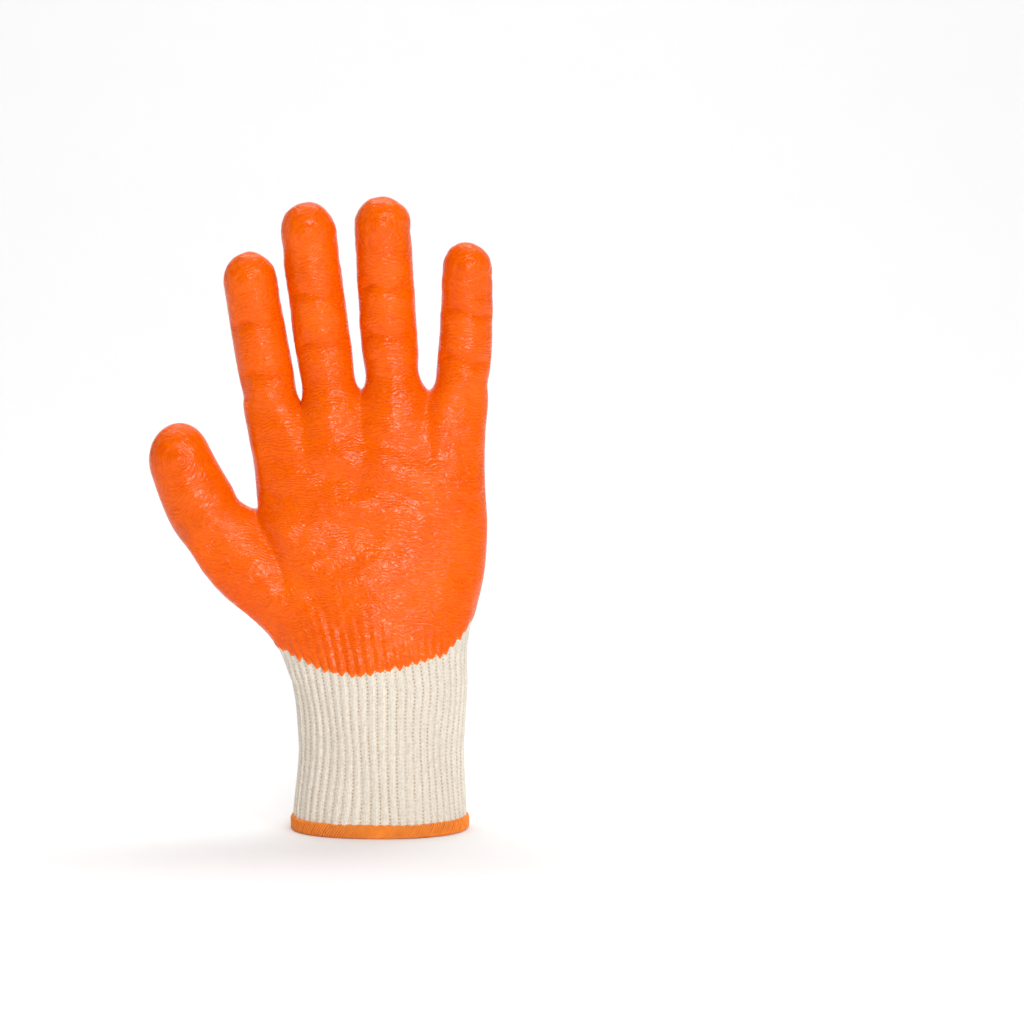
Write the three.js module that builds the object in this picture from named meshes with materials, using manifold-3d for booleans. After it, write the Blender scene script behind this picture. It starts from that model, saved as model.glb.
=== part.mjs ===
// Coated work glove for the left hand: palm to -Y, thumb to -X, fingers up, standing on its cuff's hem.
import * as THREE from 'three';
import Module from 'manifold-3d';

const wasm = await Module();
wasm.setup();

// Driving dimensions, millimetres
const cuffLength = 56;
const cuffFootWidth = 64.4;
const cuffWaistWidth = 62.4;
const cuffTopWidth = 65.4;
const cuffFootDepth = 49;
const cuffTopDepth = 45;
const cuffWall = 2;
const palmWidth = 91;
const palmLength = 110;
const palmDepth = 29;
const knuckleDepth = 23;
const fingerWidth = 20.6;
const fingerDepth = 20.2;
const indexLength = 58;
const middleLength = 74;
const ringLength = 73.4;
const littleLength = 57.6;
const thumbLength = 45.4;
const thumbWidth = 27;
const thumbDepth = 23;
const fingerCurl = 8;
const thumbForward = 7;
const heelForward = 5.6;
const knitWall = 1.5;
const coatWall = 0.8;
const creaseDepth = 1.1;
const creaseHalf = 3.2;
const foldDepth = 1.3;
const webDrop = 3;
const hemHeight = 5.4;
const hemProud = 1.1;
const hemWall = 3.6;
const ribPitch = 3.9;
const ribDepth = 0.7;
const toothHeight = 1.8;
const seamGap = 0.3;

// Lower palm, row by row from the cuff: x as a share of palmWidth, z as a share of palmLength above the
// cuff, at the thumb's outline, at the line that runs up to the thumb's crotch and at the far outline.
// depth goes from the cuff's (0) to the palm's (1), web is how far the thumb's web is pinched there.
const heelRows = [
  { left: [-0.4, 0.073], fork: [-0.265, 0.084], right: [0.358, 0.059], depth: 0.14, web: 0 },
  { left: [-0.456, 0.163], fork: [-0.299, 0.18], right: [0.363, 0.142], depth: 0.34, web: 0 },
  { left: [-0.548, 0.239], fork: [-0.342, 0.274], right: [0.385, 0.232], depth: 0.56, web: 0.04 },
  { left: [-0.648, 0.308], fork: [-0.391, 0.367], right: [0.412, 0.322], depth: 0.75, web: 0.12 },
  { left: [-0.724, 0.381], fork: [-0.446, 0.471], right: [0.43, 0.419], depth: 0.9, web: 0.26 },
  { left: [-0.778, 0.454], fork: [-0.512, 0.567], right: [0.437, 0.551], depth: 1, web: 0.44 },
];

// Upper palm, from the thumb's crotch to the fingers: depth goes from the palm's (0) to the knuckles' (1),
// web is how far the valleys between the fingers are pinched.
const palmRows = [
  { left: [-0.509, 0.64], right: [0.431, 0.64], depth: 0.1, web: 0 },
  { left: [-0.513, 0.71], right: [0.427, 0.715], depth: 0.25, web: 0.02 },
  { left: [-0.526, 0.785], right: [0.427, 0.79], depth: 0.45, web: 0.07 },
  { left: [-0.547, 0.868], right: [0.428, 0.875], depth: 0.7, web: 0.18 },
  { left: [-0.568, 0.955], right: [0.434, 0.975], depth: 1, web: 0.42 },
];

// Crotches between the fingers, as shares of palmWidth and palmLength
const fingerCrotches = [
  { x: -0.333, z: 0.96 },
  { x: -0.086, z: 1.005 },
  { x: 0.19, z: 1.002 },
];

// Fingers: lean in degrees from upright, widths and sideways bow as shares of fingerWidth, curl as a share
// of fingerCurl, palm creases as shares of the finger's length, and where the bare window on its back ends.
const fingers = [
  {
    length: indexLength, lean: -9.9, root: 0.97, tip: 0.91, bow: -0.04,
    curl: 0.8, creases: [0.22, 0.55], window: 0.6,
  },
  {
    length: middleLength, lean: -7.4, root: 0.99, tip: 0.95, bow: -0.03,
    curl: 1, creases: [0.29, 0.54], window: 0.68,
  },
  {
    length: ringLength, lean: -3.7, root: 0.99, tip: 0.96, bow: -0.04,
    curl: 1, creases: [0.3, 0.55], window: 0.68,
  },
  {
    length: littleLength, lean: 3.9, root: 0.97, tip: 0.84, bow: 0.08,
    curl: 0.8, creases: [0.25, 0.56], window: 0.6,
  },
];
const thumb = {
  length: thumbLength, lean: -29.5, root: 1, tip: 0.78, bow: -0.125,
  curl: 0.4, creases: [0.4], window: 1,
};

// Sections along a finger: place along it and fullness, as shares of its length and width
const fingerSections = [
  { along: 0.08, full: 0.94 },
  { along: 0.17, full: 0.98 },
  { along: 0.25, full: 0.985 },
  { along: 0.31, full: 1 },
  { along: 0.43, full: 1 },
  { along: 0.54, full: 0.985 },
  { along: 0.62, full: 1 },
  { along: 0.74, full: 1 },
];
const thumbSections = [
  { along: 0.14, full: 1 },
  { along: 0.28, full: 1 },
  { along: 0.4, full: 0.98 },
  { along: 0.52, full: 1 },
  { along: 0.64, full: 1.01 },
];
const domeAngles = [30, 60];

// Soft folds across the palm: ends and half width as shares of palmWidth and palmLength, depth of foldDepth
const palmFolds = [
  { from: [-0.46, 0.78], to: [0.24, 0.62], half: 0.04, depth: 0.9 },
  { from: [-0.5, 0.69], to: [0.2, 0.52], half: 0.045, depth: 0.7 },
  { from: [-0.3, 0.88], to: [0.36, 0.76], half: 0.035, depth: 0.5 },
  { from: [-0.44, 0.5], to: [-0.12, 0.14], half: 0.05, depth: 0.6 },
];

// How far the coat climbs towards the back, as a share of the half depth, on the side nearer the thumb
// and on the other: along a finger, whose places are shares of its bare window, and along the thumb.
const fingerDip = [
  { along: -0.5, near: 0.35, far: 0.35 },
  { along: 0, near: 0.48, far: 0.44 },
  { along: 0.55, near: 0.68, far: 0.62 },
  { along: 0.85, near: 0.87, far: 0.84 },
  { along: 1, near: 1.02, far: 1.02 },
  { along: 1.25, near: 1.4, far: 1.4 },
];
const thumbDip = [
  { along: -0.25, near: 0.05, far: 0.66 },
  { along: 0, near: 0.1, far: 0.7 },
  { along: 0.25, near: 0.25, far: 0.8 },
  { along: 0.42, near: 0.6, far: 0.93 },
  { along: 0.52, near: 1.02, far: 1.02 },
  { along: 0.64, near: 1.4, far: 1.4 },
];
// The same on the palm's two sides, with z as a share of palmLength above the cuff
const palmDip = [
  { z: 0.02, near: -0.1, far: -0.5 },
  { z: 0.22, near: 0, far: -0.2 },
  { z: 0.34, near: 0.02, far: 0.22 },
  { z: 0.5, near: 0.06, far: 0.34 },
];
const knuckleDip = [
  { z: 0.46, near: 0.62, far: 0.34 },
  { z: 0.7, near: 0.56, far: 0.36 },
  { z: 0.9, near: 0.5, far: 0.38 },
  { z: 1.02, near: 0.3, far: 0.3 },
];
// Lower edge of the coat across the palm, as shares of palmWidth and palmLength
const coatEdge = [
  [-1, 0.4],
  [-0.52, 0.17],
  [-0.391, 0.104],
  [-0.215, 0.04],
  [-0.086, 0.028],
  [0.095, 0.06],
  [0.266, 0.104],
  [0.349, 0.18],
  [0.412, 0.266],
  [0.6, 0.44],
];

// How finely rings are divided: front and back columns of each finger's strip, and columns round a side
const fineMesh = { strip: 4, side: 3 };
const plainMesh = { strip: 3, side: 2 };
const sideAngle = 35;
const bowRise = 0.6;
const sideInset = 0.18 * (fingerWidth / 2);
const sectionPower = 2.5;
const cuffPower = 2.2;
const waistShare = 0.5;
const ribColumns = 3;
const thumbStripShare = 0.16;
const coatGap = seamGap;
const shellFoot = cuffLength + seamGap;

const radians = THREE.MathUtils.degToRad;
const lerp = THREE.MathUtils.lerp;
const point = (x, y, z) => new THREE.Vector3(x, y, z);
const placeOf = ([x, z]) => ({ x: x * palmWidth, z: shellFoot + z * palmLength });

// Half depth of a section at a share s of its half width
function bulge(s, power) {
  return Math.pow(Math.max(0, 1 - Math.pow(Math.abs(s), power)), 1 / power);
}

// Depth of the soft folds at a place on the palm
function foldAt(x, z) {
  let depth = 0;
  for (const fold of palmFolds) {
    const a = placeOf(fold.from);
    const b = placeOf(fold.to);
    const run = point(b.x - a.x, 0, b.z - a.z);
    const away = point(x - a.x, 0, z - a.z);
    const share = THREE.MathUtils.clamp(away.dot(run) / run.lengthSq(), 0, 1);
    const distance = away.addScaledVector(run, -share).length();
    const fade = Math.sin(Math.PI * THREE.MathUtils.clamp(share, 0.08, 0.92));
    depth += fold.depth * foldDepth * fade * Math.exp(-((distance / (fold.half * palmWidth)) ** 2));
  }
  return depth;
}

// Places across one strip, -1 to 1, closer together towards its edges
function stripPlaces(mesh) {
  const reach = radians(90 - sideAngle);
  return Array.from({ length: mesh.strip + 1 }, (_, k) => {
    return Math.sin(reach * ((2 * k) / mesh.strip - 1)) / Math.sin(reach);
  });
}

// One flattened ring across several strips. edges holds the strips' borders, left to right, as x and z.
function wideRing(mesh, edges, halfDepth, power, pinch, forward) {
  const first = edges[0];
  const last = edges[edges.length - 1];
  const middle = (first.x + last.x) / 2;
  const half = (last.x - first.x) / 2;
  const inset = 1 - sideInset / half;
  const ring = { front: [], back: [], left: [], right: [] };
  for (let strip = 0; strip < edges.length - 1; strip += 1) {
    const a = edges[strip];
    const b = edges[strip + 1];
    stripPlaces(mesh).forEach((place, k) => {
      if (strip > 0 && k === 0) {
        return;
      }
      const share = (place + 1) / 2;
      const s = THREE.MathUtils.clamp((lerp(a.x, b.x, share) - middle) / half, -inset, inset);
      const x = middle + s * half;
      const z = lerp(a.z, b.z, share);
      const beside = place < 0 ? a : b;
      const pinched = beside.pinched ? place ** 2 : 0;
      const depth = halfDepth * bulge(s, power) * (1 - pinch * pinched);
      const shift = forward(x);
      ring.front.push(point(x, shift - depth + foldAt(x, z), z));
      ring.back.push(point(x, shift + depth, z));
    });
  }
  ring.left = roundSide(mesh, ring.front[0], ring.back[0], first);
  ring.right = roundSide(mesh, ring.front.at(-1), ring.back.at(-1), last);
  return ring;
}

// Points round a side, from the front corner by way of the outline to the back corner
function roundSide(mesh, front, back, outline) {
  const points = [];
  const middleY = (front.y + back.y) / 2;
  const halfY = (back.y - front.y) / 2;
  const start = radians(sideAngle);
  for (let j = 1; j < mesh.side; j += 1) {
    const angle = start * ((2 * j) / mesh.side - 1);
    const out = (Math.cos(angle) - Math.cos(start)) / (1 - Math.cos(start));
    const y = middleY + (halfY * Math.sin(angle)) / Math.sin(start);
    points.push(point(lerp(front.x, outline.x, out), y, lerp(front.z, outline.z, out)));
  }
  return points;
}

// Points over a crotch, from the front corner to the back corner, highest in the middle
function saddle(mesh, front, back) {
  const points = [];
  for (let j = 1; j < mesh.side; j += 1) {
    const share = j / mesh.side;
    const rise = webDrop * (1 - (2 * share - 1) ** 2);
    points.push(front.clone().lerp(back, share).add(point(0, 0, rise)));
  }
  return points;
}

// The part of a wide ring that belongs to strips a to b, closed at its sides by the points given
function splitRing(mesh, ring, a, b, left, right) {
  return {
    front: ring.front.slice(a * mesh.strip, b * mesh.strip + 1),
    back: ring.back.slice(a * mesh.strip, b * mesh.strip + 1),
    left,
    right,
  };
}

// A round ring of a finger, about a centre, with its width along the across vector
function roundRing(mesh, centre, across, halfWidth, halfDepth, dent) {
  const reach = radians(90 - sideAngle);
  const place = (angle, depth) => {
    return centre.clone().addScaledVector(across, halfWidth * Math.sin(angle)).add(point(0, depth, 0));
  };
  const ring = { front: [], back: [], left: [], right: [] };
  for (let k = 0; k <= mesh.strip; k += 1) {
    const angle = reach * ((2 * k) / mesh.strip - 1);
    ring.front.push(place(angle, (dent - halfDepth) * Math.cos(angle)));
    ring.back.push(place(angle, halfDepth * Math.cos(angle)));
  }
  for (let j = 1; j < mesh.side; j += 1) {
    const angle = lerp(reach, Math.PI - reach, j / mesh.side);
    ring.right.push(place(angle, -halfDepth * Math.cos(angle)));
    ring.left.push(place(-angle, -halfDepth * Math.cos(angle)));
  }
  return ring;
}

// All points of a ring in order: front left to right, right side, back right to left, left side
function cycle(ring) {
  return [...ring.front, ...ring.right, ...[...ring.back].reverse(), ...[...ring.left].reverse()];
}

// A surface that gathers triangles and shares the points that coincide
class Surface {
  constructor() {
    this.points = [];
    this.faces = [];
    this.rim = [];
    this.lines = [];
    this.known = new Map();
  }

  index(p) {
    const key = [p.x, p.y, p.z].map((value) => Math.round(value * 1000)).join(',');
    if (!this.known.has(key)) {
      this.known.set(key, this.points.length);
      this.points.push(p.clone());
    }
    return this.known.get(key);
  }

  triangle(a, b, c) {
    if (a !== b && b !== c && c !== a) {
      this.faces.push([a, b, c]);
    }
  }

  // A tube through rings, lowest first
  tube(rings) {
    const loops = rings.map((ring) => cycle(ring).map((p) => this.index(p)));
    for (let row = 0; row < loops.length - 1; row += 1) {
      const count = loops[row].length;
      for (let k = 0; k < count; k += 1) {
        const next = (k + 1) % count;
        const [a, b] = [loops[row][k], loops[row][next]];
        const [c, d] = [loops[row + 1][next], loops[row + 1][k]];
        this.triangle(a, b, c);
        this.triangle(a, c, d);
      }
    }
    return loops;
  }

  // Closes the last loop of a tube over a point
  crown(loop, tip) {
    const top = this.index(tip);
    loop.forEach((a, k) => this.triangle(a, loop[(k + 1) % loop.length], top));
  }

  normals() {
    const sums = this.points.map(() => point(0, 0, 0));
    for (const [a, b, c] of this.faces) {
      const ab = this.points[b].clone().sub(this.points[a]);
      const ac = this.points[c].clone().sub(this.points[a]);
      const normal = ab.cross(ac);
      [a, b, c].forEach((k) => sums[k].add(normal));
    }
    return sums.map((sum) => sum.normalize());
  }

  // A closed solid whose skin lies the distance outside this surface, capped across its rim, which is
  // lowered by drop
  solid(distance, drop) {
    const normals = this.normals();
    const moved = this.points.map((p, k) => p.clone().addScaledVector(normals[k], distance));
    for (const k of this.rim) {
      const outward = point(normals[k].x, normals[k].y, 0).normalize();
      moved[k] = this.points[k].clone().addScaledVector(outward, distance);
      moved[k].z -= drop;
    }
    const foot = moved.length;
    moved.push(point(0, 0, moved[this.rim[0]].z));
    const cap = this.rim.map((a, k) => [this.rim[(k + 1) % this.rim.length], a, foot]);
    return solidOf(moved, [...this.faces, ...cap]);
  }
}

function solidOf(points, faces) {
  const vertProperties = new Float32Array(points.flatMap((p) => [p.x, p.y, p.z]));
  const triVerts = new Uint32Array(faces.flat());
  return new wasm.Manifold(new wasm.Mesh({ numProp: 3, vertProperties, triVerts }));
}

// A solid through loops of points that all have the same count, lowest first
function loftSolid(loops) {
  const surface = new Surface();
  const rows = surface.tube(loops.map((loop) => ({ front: loop, back: [], left: [], right: [] })));
  for (const [row, turned] of [[rows[0], true], [rows.at(-1), false]]) {
    const sum = row.reduce((total, k) => total.add(surface.points[k]), point(0, 0, 0));
    const middle = surface.index(sum.divideScalar(row.length));
    row.forEach((a, k) => {
      const b = row[(k + 1) % row.length];
      surface.triangle(middle, turned ? b : a, turned ? a : b);
    });
  }
  return solidOf(surface.points, surface.faces);
}

// The finger's line from its root to its tip: place, half width and half depth at a share of its length
function fingerLine(root, spec, width, depth) {
  const lean = radians(spec.lean);
  const along = point(Math.sin(lean), 0, Math.cos(lean));
  const across = point(Math.cos(lean), 0, -Math.sin(lean));
  const at = (share) => {
    const bow = spec.bow * width * Math.sin(Math.PI * Math.min(1, Math.abs(share)) ** bowRise);
    const middle = root.clone().addScaledVector(along, spec.length * share).addScaledVector(across, bow);
    return middle.add(point(0, -spec.curl * share ** 2, 0));
  };
  const halfAt = (share) => (lerp(spec.root, spec.tip, Math.min(1, share / 0.8)) * width) / 2;
  const depthAt = (share) => (lerp(spec.root, spec.tip, Math.min(1, share / 0.8)) * depth) / 2;
  return { at, across, halfAt, depthAt, spec };
}

// Depth of the creases across a finger's palm side
function creaseAt(line, share) {
  let depth = 0;
  for (const crease of line.spec.creases) {
    const away = ((share - crease) * line.spec.length) / creaseHalf;
    depth += creaseDepth * Math.exp(-(away ** 2));
  }
  return depth;
}

// The rings of a finger above its root ring, and the tip that crowns them
function fingerRings(mesh, line, sections) {
  const rings = sections.map(({ along, full }) => {
    const halfWidth = line.halfAt(along) * full;
    const halfDepth = line.depthAt(along) * full;
    return roundRing(mesh, line.at(along), line.across, halfWidth, halfDepth, creaseAt(line, along));
  });
  const start = 1 - line.halfAt(1) / line.spec.length;
  for (const degrees of [0, ...domeAngles]) {
    const share = lerp(start, 1, Math.sin(radians(degrees)));
    const shrink = Math.cos(radians(degrees));
    const half = line.halfAt(share) * shrink;
    rings.push(roundRing(mesh, line.at(share), line.across, half, line.depthAt(share) * shrink, 0));
  }
  return { rings, tip: line.at(1) };
}

// Centre of a split ring, from the outermost points of its two sides
function ringCentre(ring) {
  const sides = [...ring.left, ...ring.right];
  return sides.reduce((sum, p) => sum.add(p), point(0, 0, 0)).divideScalar(sides.length);
}

// Borders of the four fingers' strips between two ends, in the proportion of the crotches
function palmEdges(left, right, pinched) {
  const a = placeOf(palmRows.at(-1).left);
  const b = placeOf(palmRows.at(-1).right);
  const inner = fingerCrotches.map((crotch) => {
    const share = (crotch.x * palmWidth - a.x) / (b.x - a.x);
    return { x: lerp(left.x, right.x, share), z: lerp(left.z, right.z, share), pinched };
  });
  return [left, ...inner, right];
}

// The whole hand as one open surface, from the cuff to the fingertips
function handSurface(mesh) {
  const surface = new Surface();
  const cuffLeft = { x: -cuffTopWidth / 2, z: shellFoot };
  const cuffRight = { x: cuffTopWidth / 2, z: shellFoot };
  const cuffFork = { x: lerp(cuffLeft.x, cuffRight.x, thumbStripShare), z: shellFoot };
  const foot = [cuffLeft, ...palmEdges(cuffFork, cuffRight, false)];
  const heel = [wideRing(mesh, foot, cuffTopDepth / 2, cuffPower, 0, () => 0)];
  for (const row of heelRows) {
    const [left, fork, right] = [row.left, row.fork, row.right].map(placeOf);
    const edges = [left, ...palmEdges({ ...fork, pinched: true }, right, false)];
    const halfDepth = lerp(cuffTopDepth, palmDepth, row.depth) / 2;
    const power = lerp(cuffPower, sectionPower, row.depth);
    const forward = (x) => {
      const share = THREE.MathUtils.clamp((fork.x - x) / (fork.x - left.x), 0, 1);
      return -heelForward * row.depth * share ** 1.5;
    };
    heel.push(wideRing(mesh, edges, halfDepth, power, row.web, forward));
  }
  const heelLoops = surface.tube(heel);
  surface.rim = heelLoops[0];

  const top = heel.at(-1);
  const web = saddle(mesh, top.front[mesh.strip], top.back[mesh.strip]);
  const palm = [splitRing(mesh, top, 1, 5, web, top.right)];
  palmRows.forEach((row, k) => {
    const [left, right] = [row.left, row.right].map(placeOf);
    const edges = palmEdges(left, right, true);
    if (k === palmRows.length - 1) {
      fingerCrotches.forEach((crotch, i) => {
        edges[i + 1].x = crotch.x * palmWidth;
        edges[i + 1].z = shellFoot + crotch.z * palmLength - webDrop;
      });
    }
    const halfDepth = lerp(palmDepth, knuckleDepth, row.depth) / 2;
    palm.push(wideRing(mesh, edges, halfDepth, sectionPower, row.web, () => 0));
  });
  surface.tube(palm);

  const thumbRing = splitRing(mesh, top, 0, 1, top.left, web);
  const digits = [{ ring: thumbRing, line: lineOfThumb(thumbRing), sections: thumbSections }];
  const knuckles = palm.at(-1);
  const webs = fingerCrotches.map((_, k) => {
    const corner = (k + 1) * mesh.strip;
    return saddle(mesh, knuckles.front[corner], knuckles.back[corner]);
  });
  fingers.forEach((spec, k) => {
    const left = k === 0 ? knuckles.left : webs[k - 1];
    const right = k === fingers.length - 1 ? knuckles.right : webs[k];
    const ring = splitRing(mesh, knuckles, k, k + 1, left, right);
    digits.push({ ring, line: lineOfFinger(ring, spec), sections: fingerSections });
  });
  for (const { ring, line, sections } of digits) {
    const { rings, tip } = fingerRings(mesh, line, sections);
    const loops = surface.tube([ring, ...rings]);
    surface.crown(loops.at(-1), tip);
  }
  surface.lines = digits.map(({ line }) => line);
  return surface;
}

function lineOfFinger(ring, spec) {
  const curled = { ...spec, curl: spec.curl * fingerCurl };
  return fingerLine(ringCentre(ring), curled, fingerWidth, fingerDepth);
}

function lineOfThumb(ring) {
  const curled = { ...thumb, curl: thumb.curl * thumbForward };
  return fingerLine(ringCentre(ring), curled, thumbWidth, thumbDepth);
}

// The bath that leaves the coat: everything in front of a level that climbs to the fingertips
const bathFront = -(palmDepth + thumbForward + fingerCurl) * 2;
const bathMargin = 3;

function dipAlong(line, rows) {
  return rows.map(({ along, near, far }) => {
    const share = along * line.spec.window;
    const centre = line.at(share);
    const half = line.halfAt(share) + bathMargin;
    const depth = line.depthAt(share);
    const corner = (side, y) => centre.clone().addScaledVector(line.across, side * half).setY(y);
    return [
      corner(-1, bathFront),
      corner(1, bathFront),
      corner(1, centre.y + far * depth),
      corner(-1, centre.y + near * depth),
    ];
  });
}

function dipAcross(rows, reach) {
  return rows.map(({ z, near, far }) => {
    const height = shellFoot + z * palmLength;
    const half = palmDepth / 2;
    return [
      point(reach.left, bathFront, height),
      point(reach.right, bathFront, height),
      point(reach.right, far * half, height),
      point(reach.left, near * half, height),
    ];
  });
}

// The strip below the coat's toothed lower edge, one tooth to a rib
function belowEdge() {
  const places = coatEdge.map(placeOf).map(({ x, z }) => new THREE.Vector2(x, z));
  const curve = new THREE.SplineCurve(places);
  const teeth = Math.round(curve.getLength() / ribPitch);
  const edge = curve.getSpacedPoints(teeth * 2);
  edge.forEach((p, k) => {
    p.y += ((k % 2) * 2 - 1) * (toothHeight / 2);
  });
  const shape = new THREE.Shape([
    new THREE.Vector2(edge[0].x, shellFoot - 1),
    new THREE.Vector2(edge.at(-1).x, shellFoot - 1),
    ...edge.reverse(),
  ]);
  const prism = new THREE.ExtrudeGeometry(shape, { depth: -2 * bathFront, bevelEnabled: false });
  prism.rotateX(Math.PI / 2);
  prism.translate(0, -bathFront, 0);
  return manifoldOf(prism);
}

// A solid from a closed three.js geometry
function manifoldOf(geometry) {
  const surface = new Surface();
  const place = geometry.getAttribute('position');
  const corner = (k) => surface.index(new THREE.Vector3().fromBufferAttribute(place, k));
  const order = geometry.index ? Array.from(geometry.index.array) : [...Array(place.count).keys()];
  for (let k = 0; k < order.length; k += 3) {
    surface.triangle(corner(order[k]), corner(order[k + 1]), corner(order[k + 2]));
  }
  return solidOf(surface.points, surface.faces);
}

function bath(hand) {
  const palmLeft = palmRows[0].left[0] * palmWidth - bathMargin;
  const palmRight = palmRows[0].right[0] * palmWidth + 2 * bathMargin;
  let level = loftSolid(dipAcross(palmDip, { left: -palmWidth, right: palmRight }));
  level = level.add(loftSolid(dipAcross(knuckleDip, { left: palmLeft - bathMargin, right: palmRight })));
  hand.lines.forEach((line, k) => {
    const rows = k === 0 ? thumbDip : fingerDip;
    const blocks = dipAlong(line, rows);
    const beyond = line.at(1).sub(line.at(0.5));
    blocks.push(blocks.at(-1).map((p) => p.clone().add(beyond)));
    level = level.add(loftSolid(blocks));
  });
  return level.subtract(belowEdge());
}

// Width of the cuff at a share of its height: narrowest at its waist, flared towards the hand
function cuffWidthAt(share) {
  if (share < waistShare) {
    return lerp(cuffFootWidth, cuffWaistWidth, THREE.MathUtils.smoothstep(share, 0, waistShare));
  }
  return lerp(cuffWaistWidth, cuffTopWidth, ((share - waistShare) / (1 - waistShare)) ** 1.5);
}

// A closed curve round the cuff at a height share, pushed out by a distance, with ribs or without
function cuffLoop(share, count, distance, ribbed, z) {
  const width = cuffWidthAt(share);
  const depth = lerp(cuffFootDepth, cuffTopDepth, share);
  return Array.from({ length: count }, (_, k) => {
    const angle = (2 * Math.PI * k) / count - Math.PI / 2;
    const groove = ribbed && k % ribColumns === 0 ? ribDepth : 0;
    const power = 2 / cuffPower;
    const out = distance - groove;
    const x = (width / 2 + out) * Math.sign(Math.cos(angle)) * Math.abs(Math.cos(angle)) ** power;
    const y = (depth / 2 + out) * Math.sign(Math.sin(angle)) * Math.abs(Math.sin(angle)) ** power;
    return point(x, y, z);
  });
}

function ribbedCuff() {
  const girth = (Math.PI * (cuffWaistWidth + cuffFootDepth)) / 2;
  const ribs = Math.round(girth / ribPitch);
  const foot = hemHeight + seamGap;
  const shares = [0, 0.3, 0.62, 1];
  const heightOf = (share) => lerp(foot, cuffLength, share);
  const count = ribs * ribColumns;
  const outer = loftSolid(shares.map((share) => cuffLoop(share, count, 0, true, heightOf(share))));
  const beyond = [-0.05, 0.5, 1.05];
  const inner = loftSolid(beyond.map((share) => cuffLoop(share, ribs, -cuffWall, false, heightOf(share))));
  return outer.subtract(inner);
}

// The hem's section: a rounded band, out from its inner face and up from its flat foot, as shares
const hemSection = [
  [0.3, 0],
  [0.7, 0],
  [1, 0.28],
  [1, 0.74],
  [0.78, 1],
  [0.22, 1],
  [0, 0.74],
  [0, 0.28],
];

function hem() {
  const count = Math.round((Math.PI * (cuffFootWidth + cuffFootDepth)) / 2 / ribPitch);
  const around = hemSection.map(([out, up]) => {
    return cuffLoop(0, count, hemProud - hemWall * (1 - out), false, hemHeight * up);
  });
  const surface = new Surface();
  around.forEach((loop, row) => {
    const next = around[(row + 1) % around.length];
    loop.forEach((p, k) => {
      const beside = (k + 1) % count;
      const [a, b, c, d] = [p, loop[beside], next[beside], next[k]].map((q) => surface.index(q));
      surface.triangle(a, b, c);
      surface.triangle(a, c, d);
    });
  });
  return solidOf(surface.points, surface.faces);
}

const materials = {
  knit: new THREE.MeshStandardMaterial({ color: 0xebe1d2, roughness: 0.95, metalness: 0 }),
  rib: new THREE.MeshStandardMaterial({ color: 0xe6dccb, roughness: 0.95, metalness: 0 }),
  thread: new THREE.MeshStandardMaterial({ color: 0xee7d22, roughness: 0.8, metalness: 0 }),
  latex: new THREE.MeshStandardMaterial({ color: 0xff6a0c, roughness: 0.5, metalness: 0 }),
};

function meshOf(name, solid, material) {
  const { vertProperties, triVerts } = solid.getMesh();
  const geometry = new THREE.BufferGeometry();
  geometry.setAttribute('position', new THREE.BufferAttribute(vertProperties, 3));
  geometry.setIndex(new THREE.BufferAttribute(triVerts, 1));
  geometry.computeVertexNormals();
  const mesh = new THREE.Mesh(geometry, material);
  mesh.name = name;
  return mesh;
}

const hand = handSurface(fineMesh);
const inside = handSurface(plainMesh);
const knitShell = hand.solid(0, 0).subtract(inside.solid(-knitWall, 2));
const latexSkin = hand.solid(coatGap + coatWall, 0).subtract(hand.solid(coatGap, 2));
const latexCoat = latexSkin.intersect(bath(hand));

const group = new THREE.Group();
group.add(meshOf('knit_shell', knitShell, materials.knit));
group.add(meshOf('rib_cuff', ribbedCuff(), materials.rib));
group.add(meshOf('overlock_hem', hem(), materials.thread));
group.add(meshOf('latex_coat', latexCoat, materials.latex));

export default group;
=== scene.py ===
"""Looks of a coated work glove: knitted hand, ribbed cuff, overlocked hem and crinkled latex coat."""

import logging
import math
from dataclasses import dataclass, field
from enum import Enum

import bmesh
import bpy
import numpy as np
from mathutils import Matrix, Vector, noise


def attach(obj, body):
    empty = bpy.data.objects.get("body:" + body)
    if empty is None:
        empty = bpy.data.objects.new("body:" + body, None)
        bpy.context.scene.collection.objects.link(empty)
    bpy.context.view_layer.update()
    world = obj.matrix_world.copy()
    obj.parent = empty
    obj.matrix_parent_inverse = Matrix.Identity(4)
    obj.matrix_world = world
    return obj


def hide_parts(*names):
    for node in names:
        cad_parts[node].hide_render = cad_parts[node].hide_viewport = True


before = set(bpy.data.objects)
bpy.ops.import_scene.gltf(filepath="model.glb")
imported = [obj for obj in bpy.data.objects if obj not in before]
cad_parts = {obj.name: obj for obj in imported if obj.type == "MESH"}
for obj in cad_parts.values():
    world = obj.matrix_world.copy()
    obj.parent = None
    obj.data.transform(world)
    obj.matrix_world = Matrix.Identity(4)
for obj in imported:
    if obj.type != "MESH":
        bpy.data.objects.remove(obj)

log = logging.getLogger("glove")

MM = 0.001
# The knit in millimetres: the cuff's top, one wale and one course, and the ribs' depth
CUFF_TOP = 56.3
WALE = 1.35
COURSE = 1.35
RIB_DEPTH = 0.29
WALES = 153
WALES_PER_RIB = 3
SMOOTH_DEGREES = 70
# How far the worn glove settles out of its plan: the wrist's thumb side, its foot and the fingers
WRIST_EASE = 0.9
FOOT_EASE = 1.3
FINGER_LEAN = 0.9
# Where the thumb parts from the palm above the fork's line, and the lengths up to which it counts
FORK_TOP = 118.0
FORK_TOP_X = -46.5
FORK_RISE = 0.4
THUMB_REACH = 1.3
FAR = 99.0


class Slot(Enum):
    """Material slots of the record."""

    KNIT = "knit"
    RIB = "rib"
    THREAD = "thread"
    LATEX = "latex"


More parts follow.
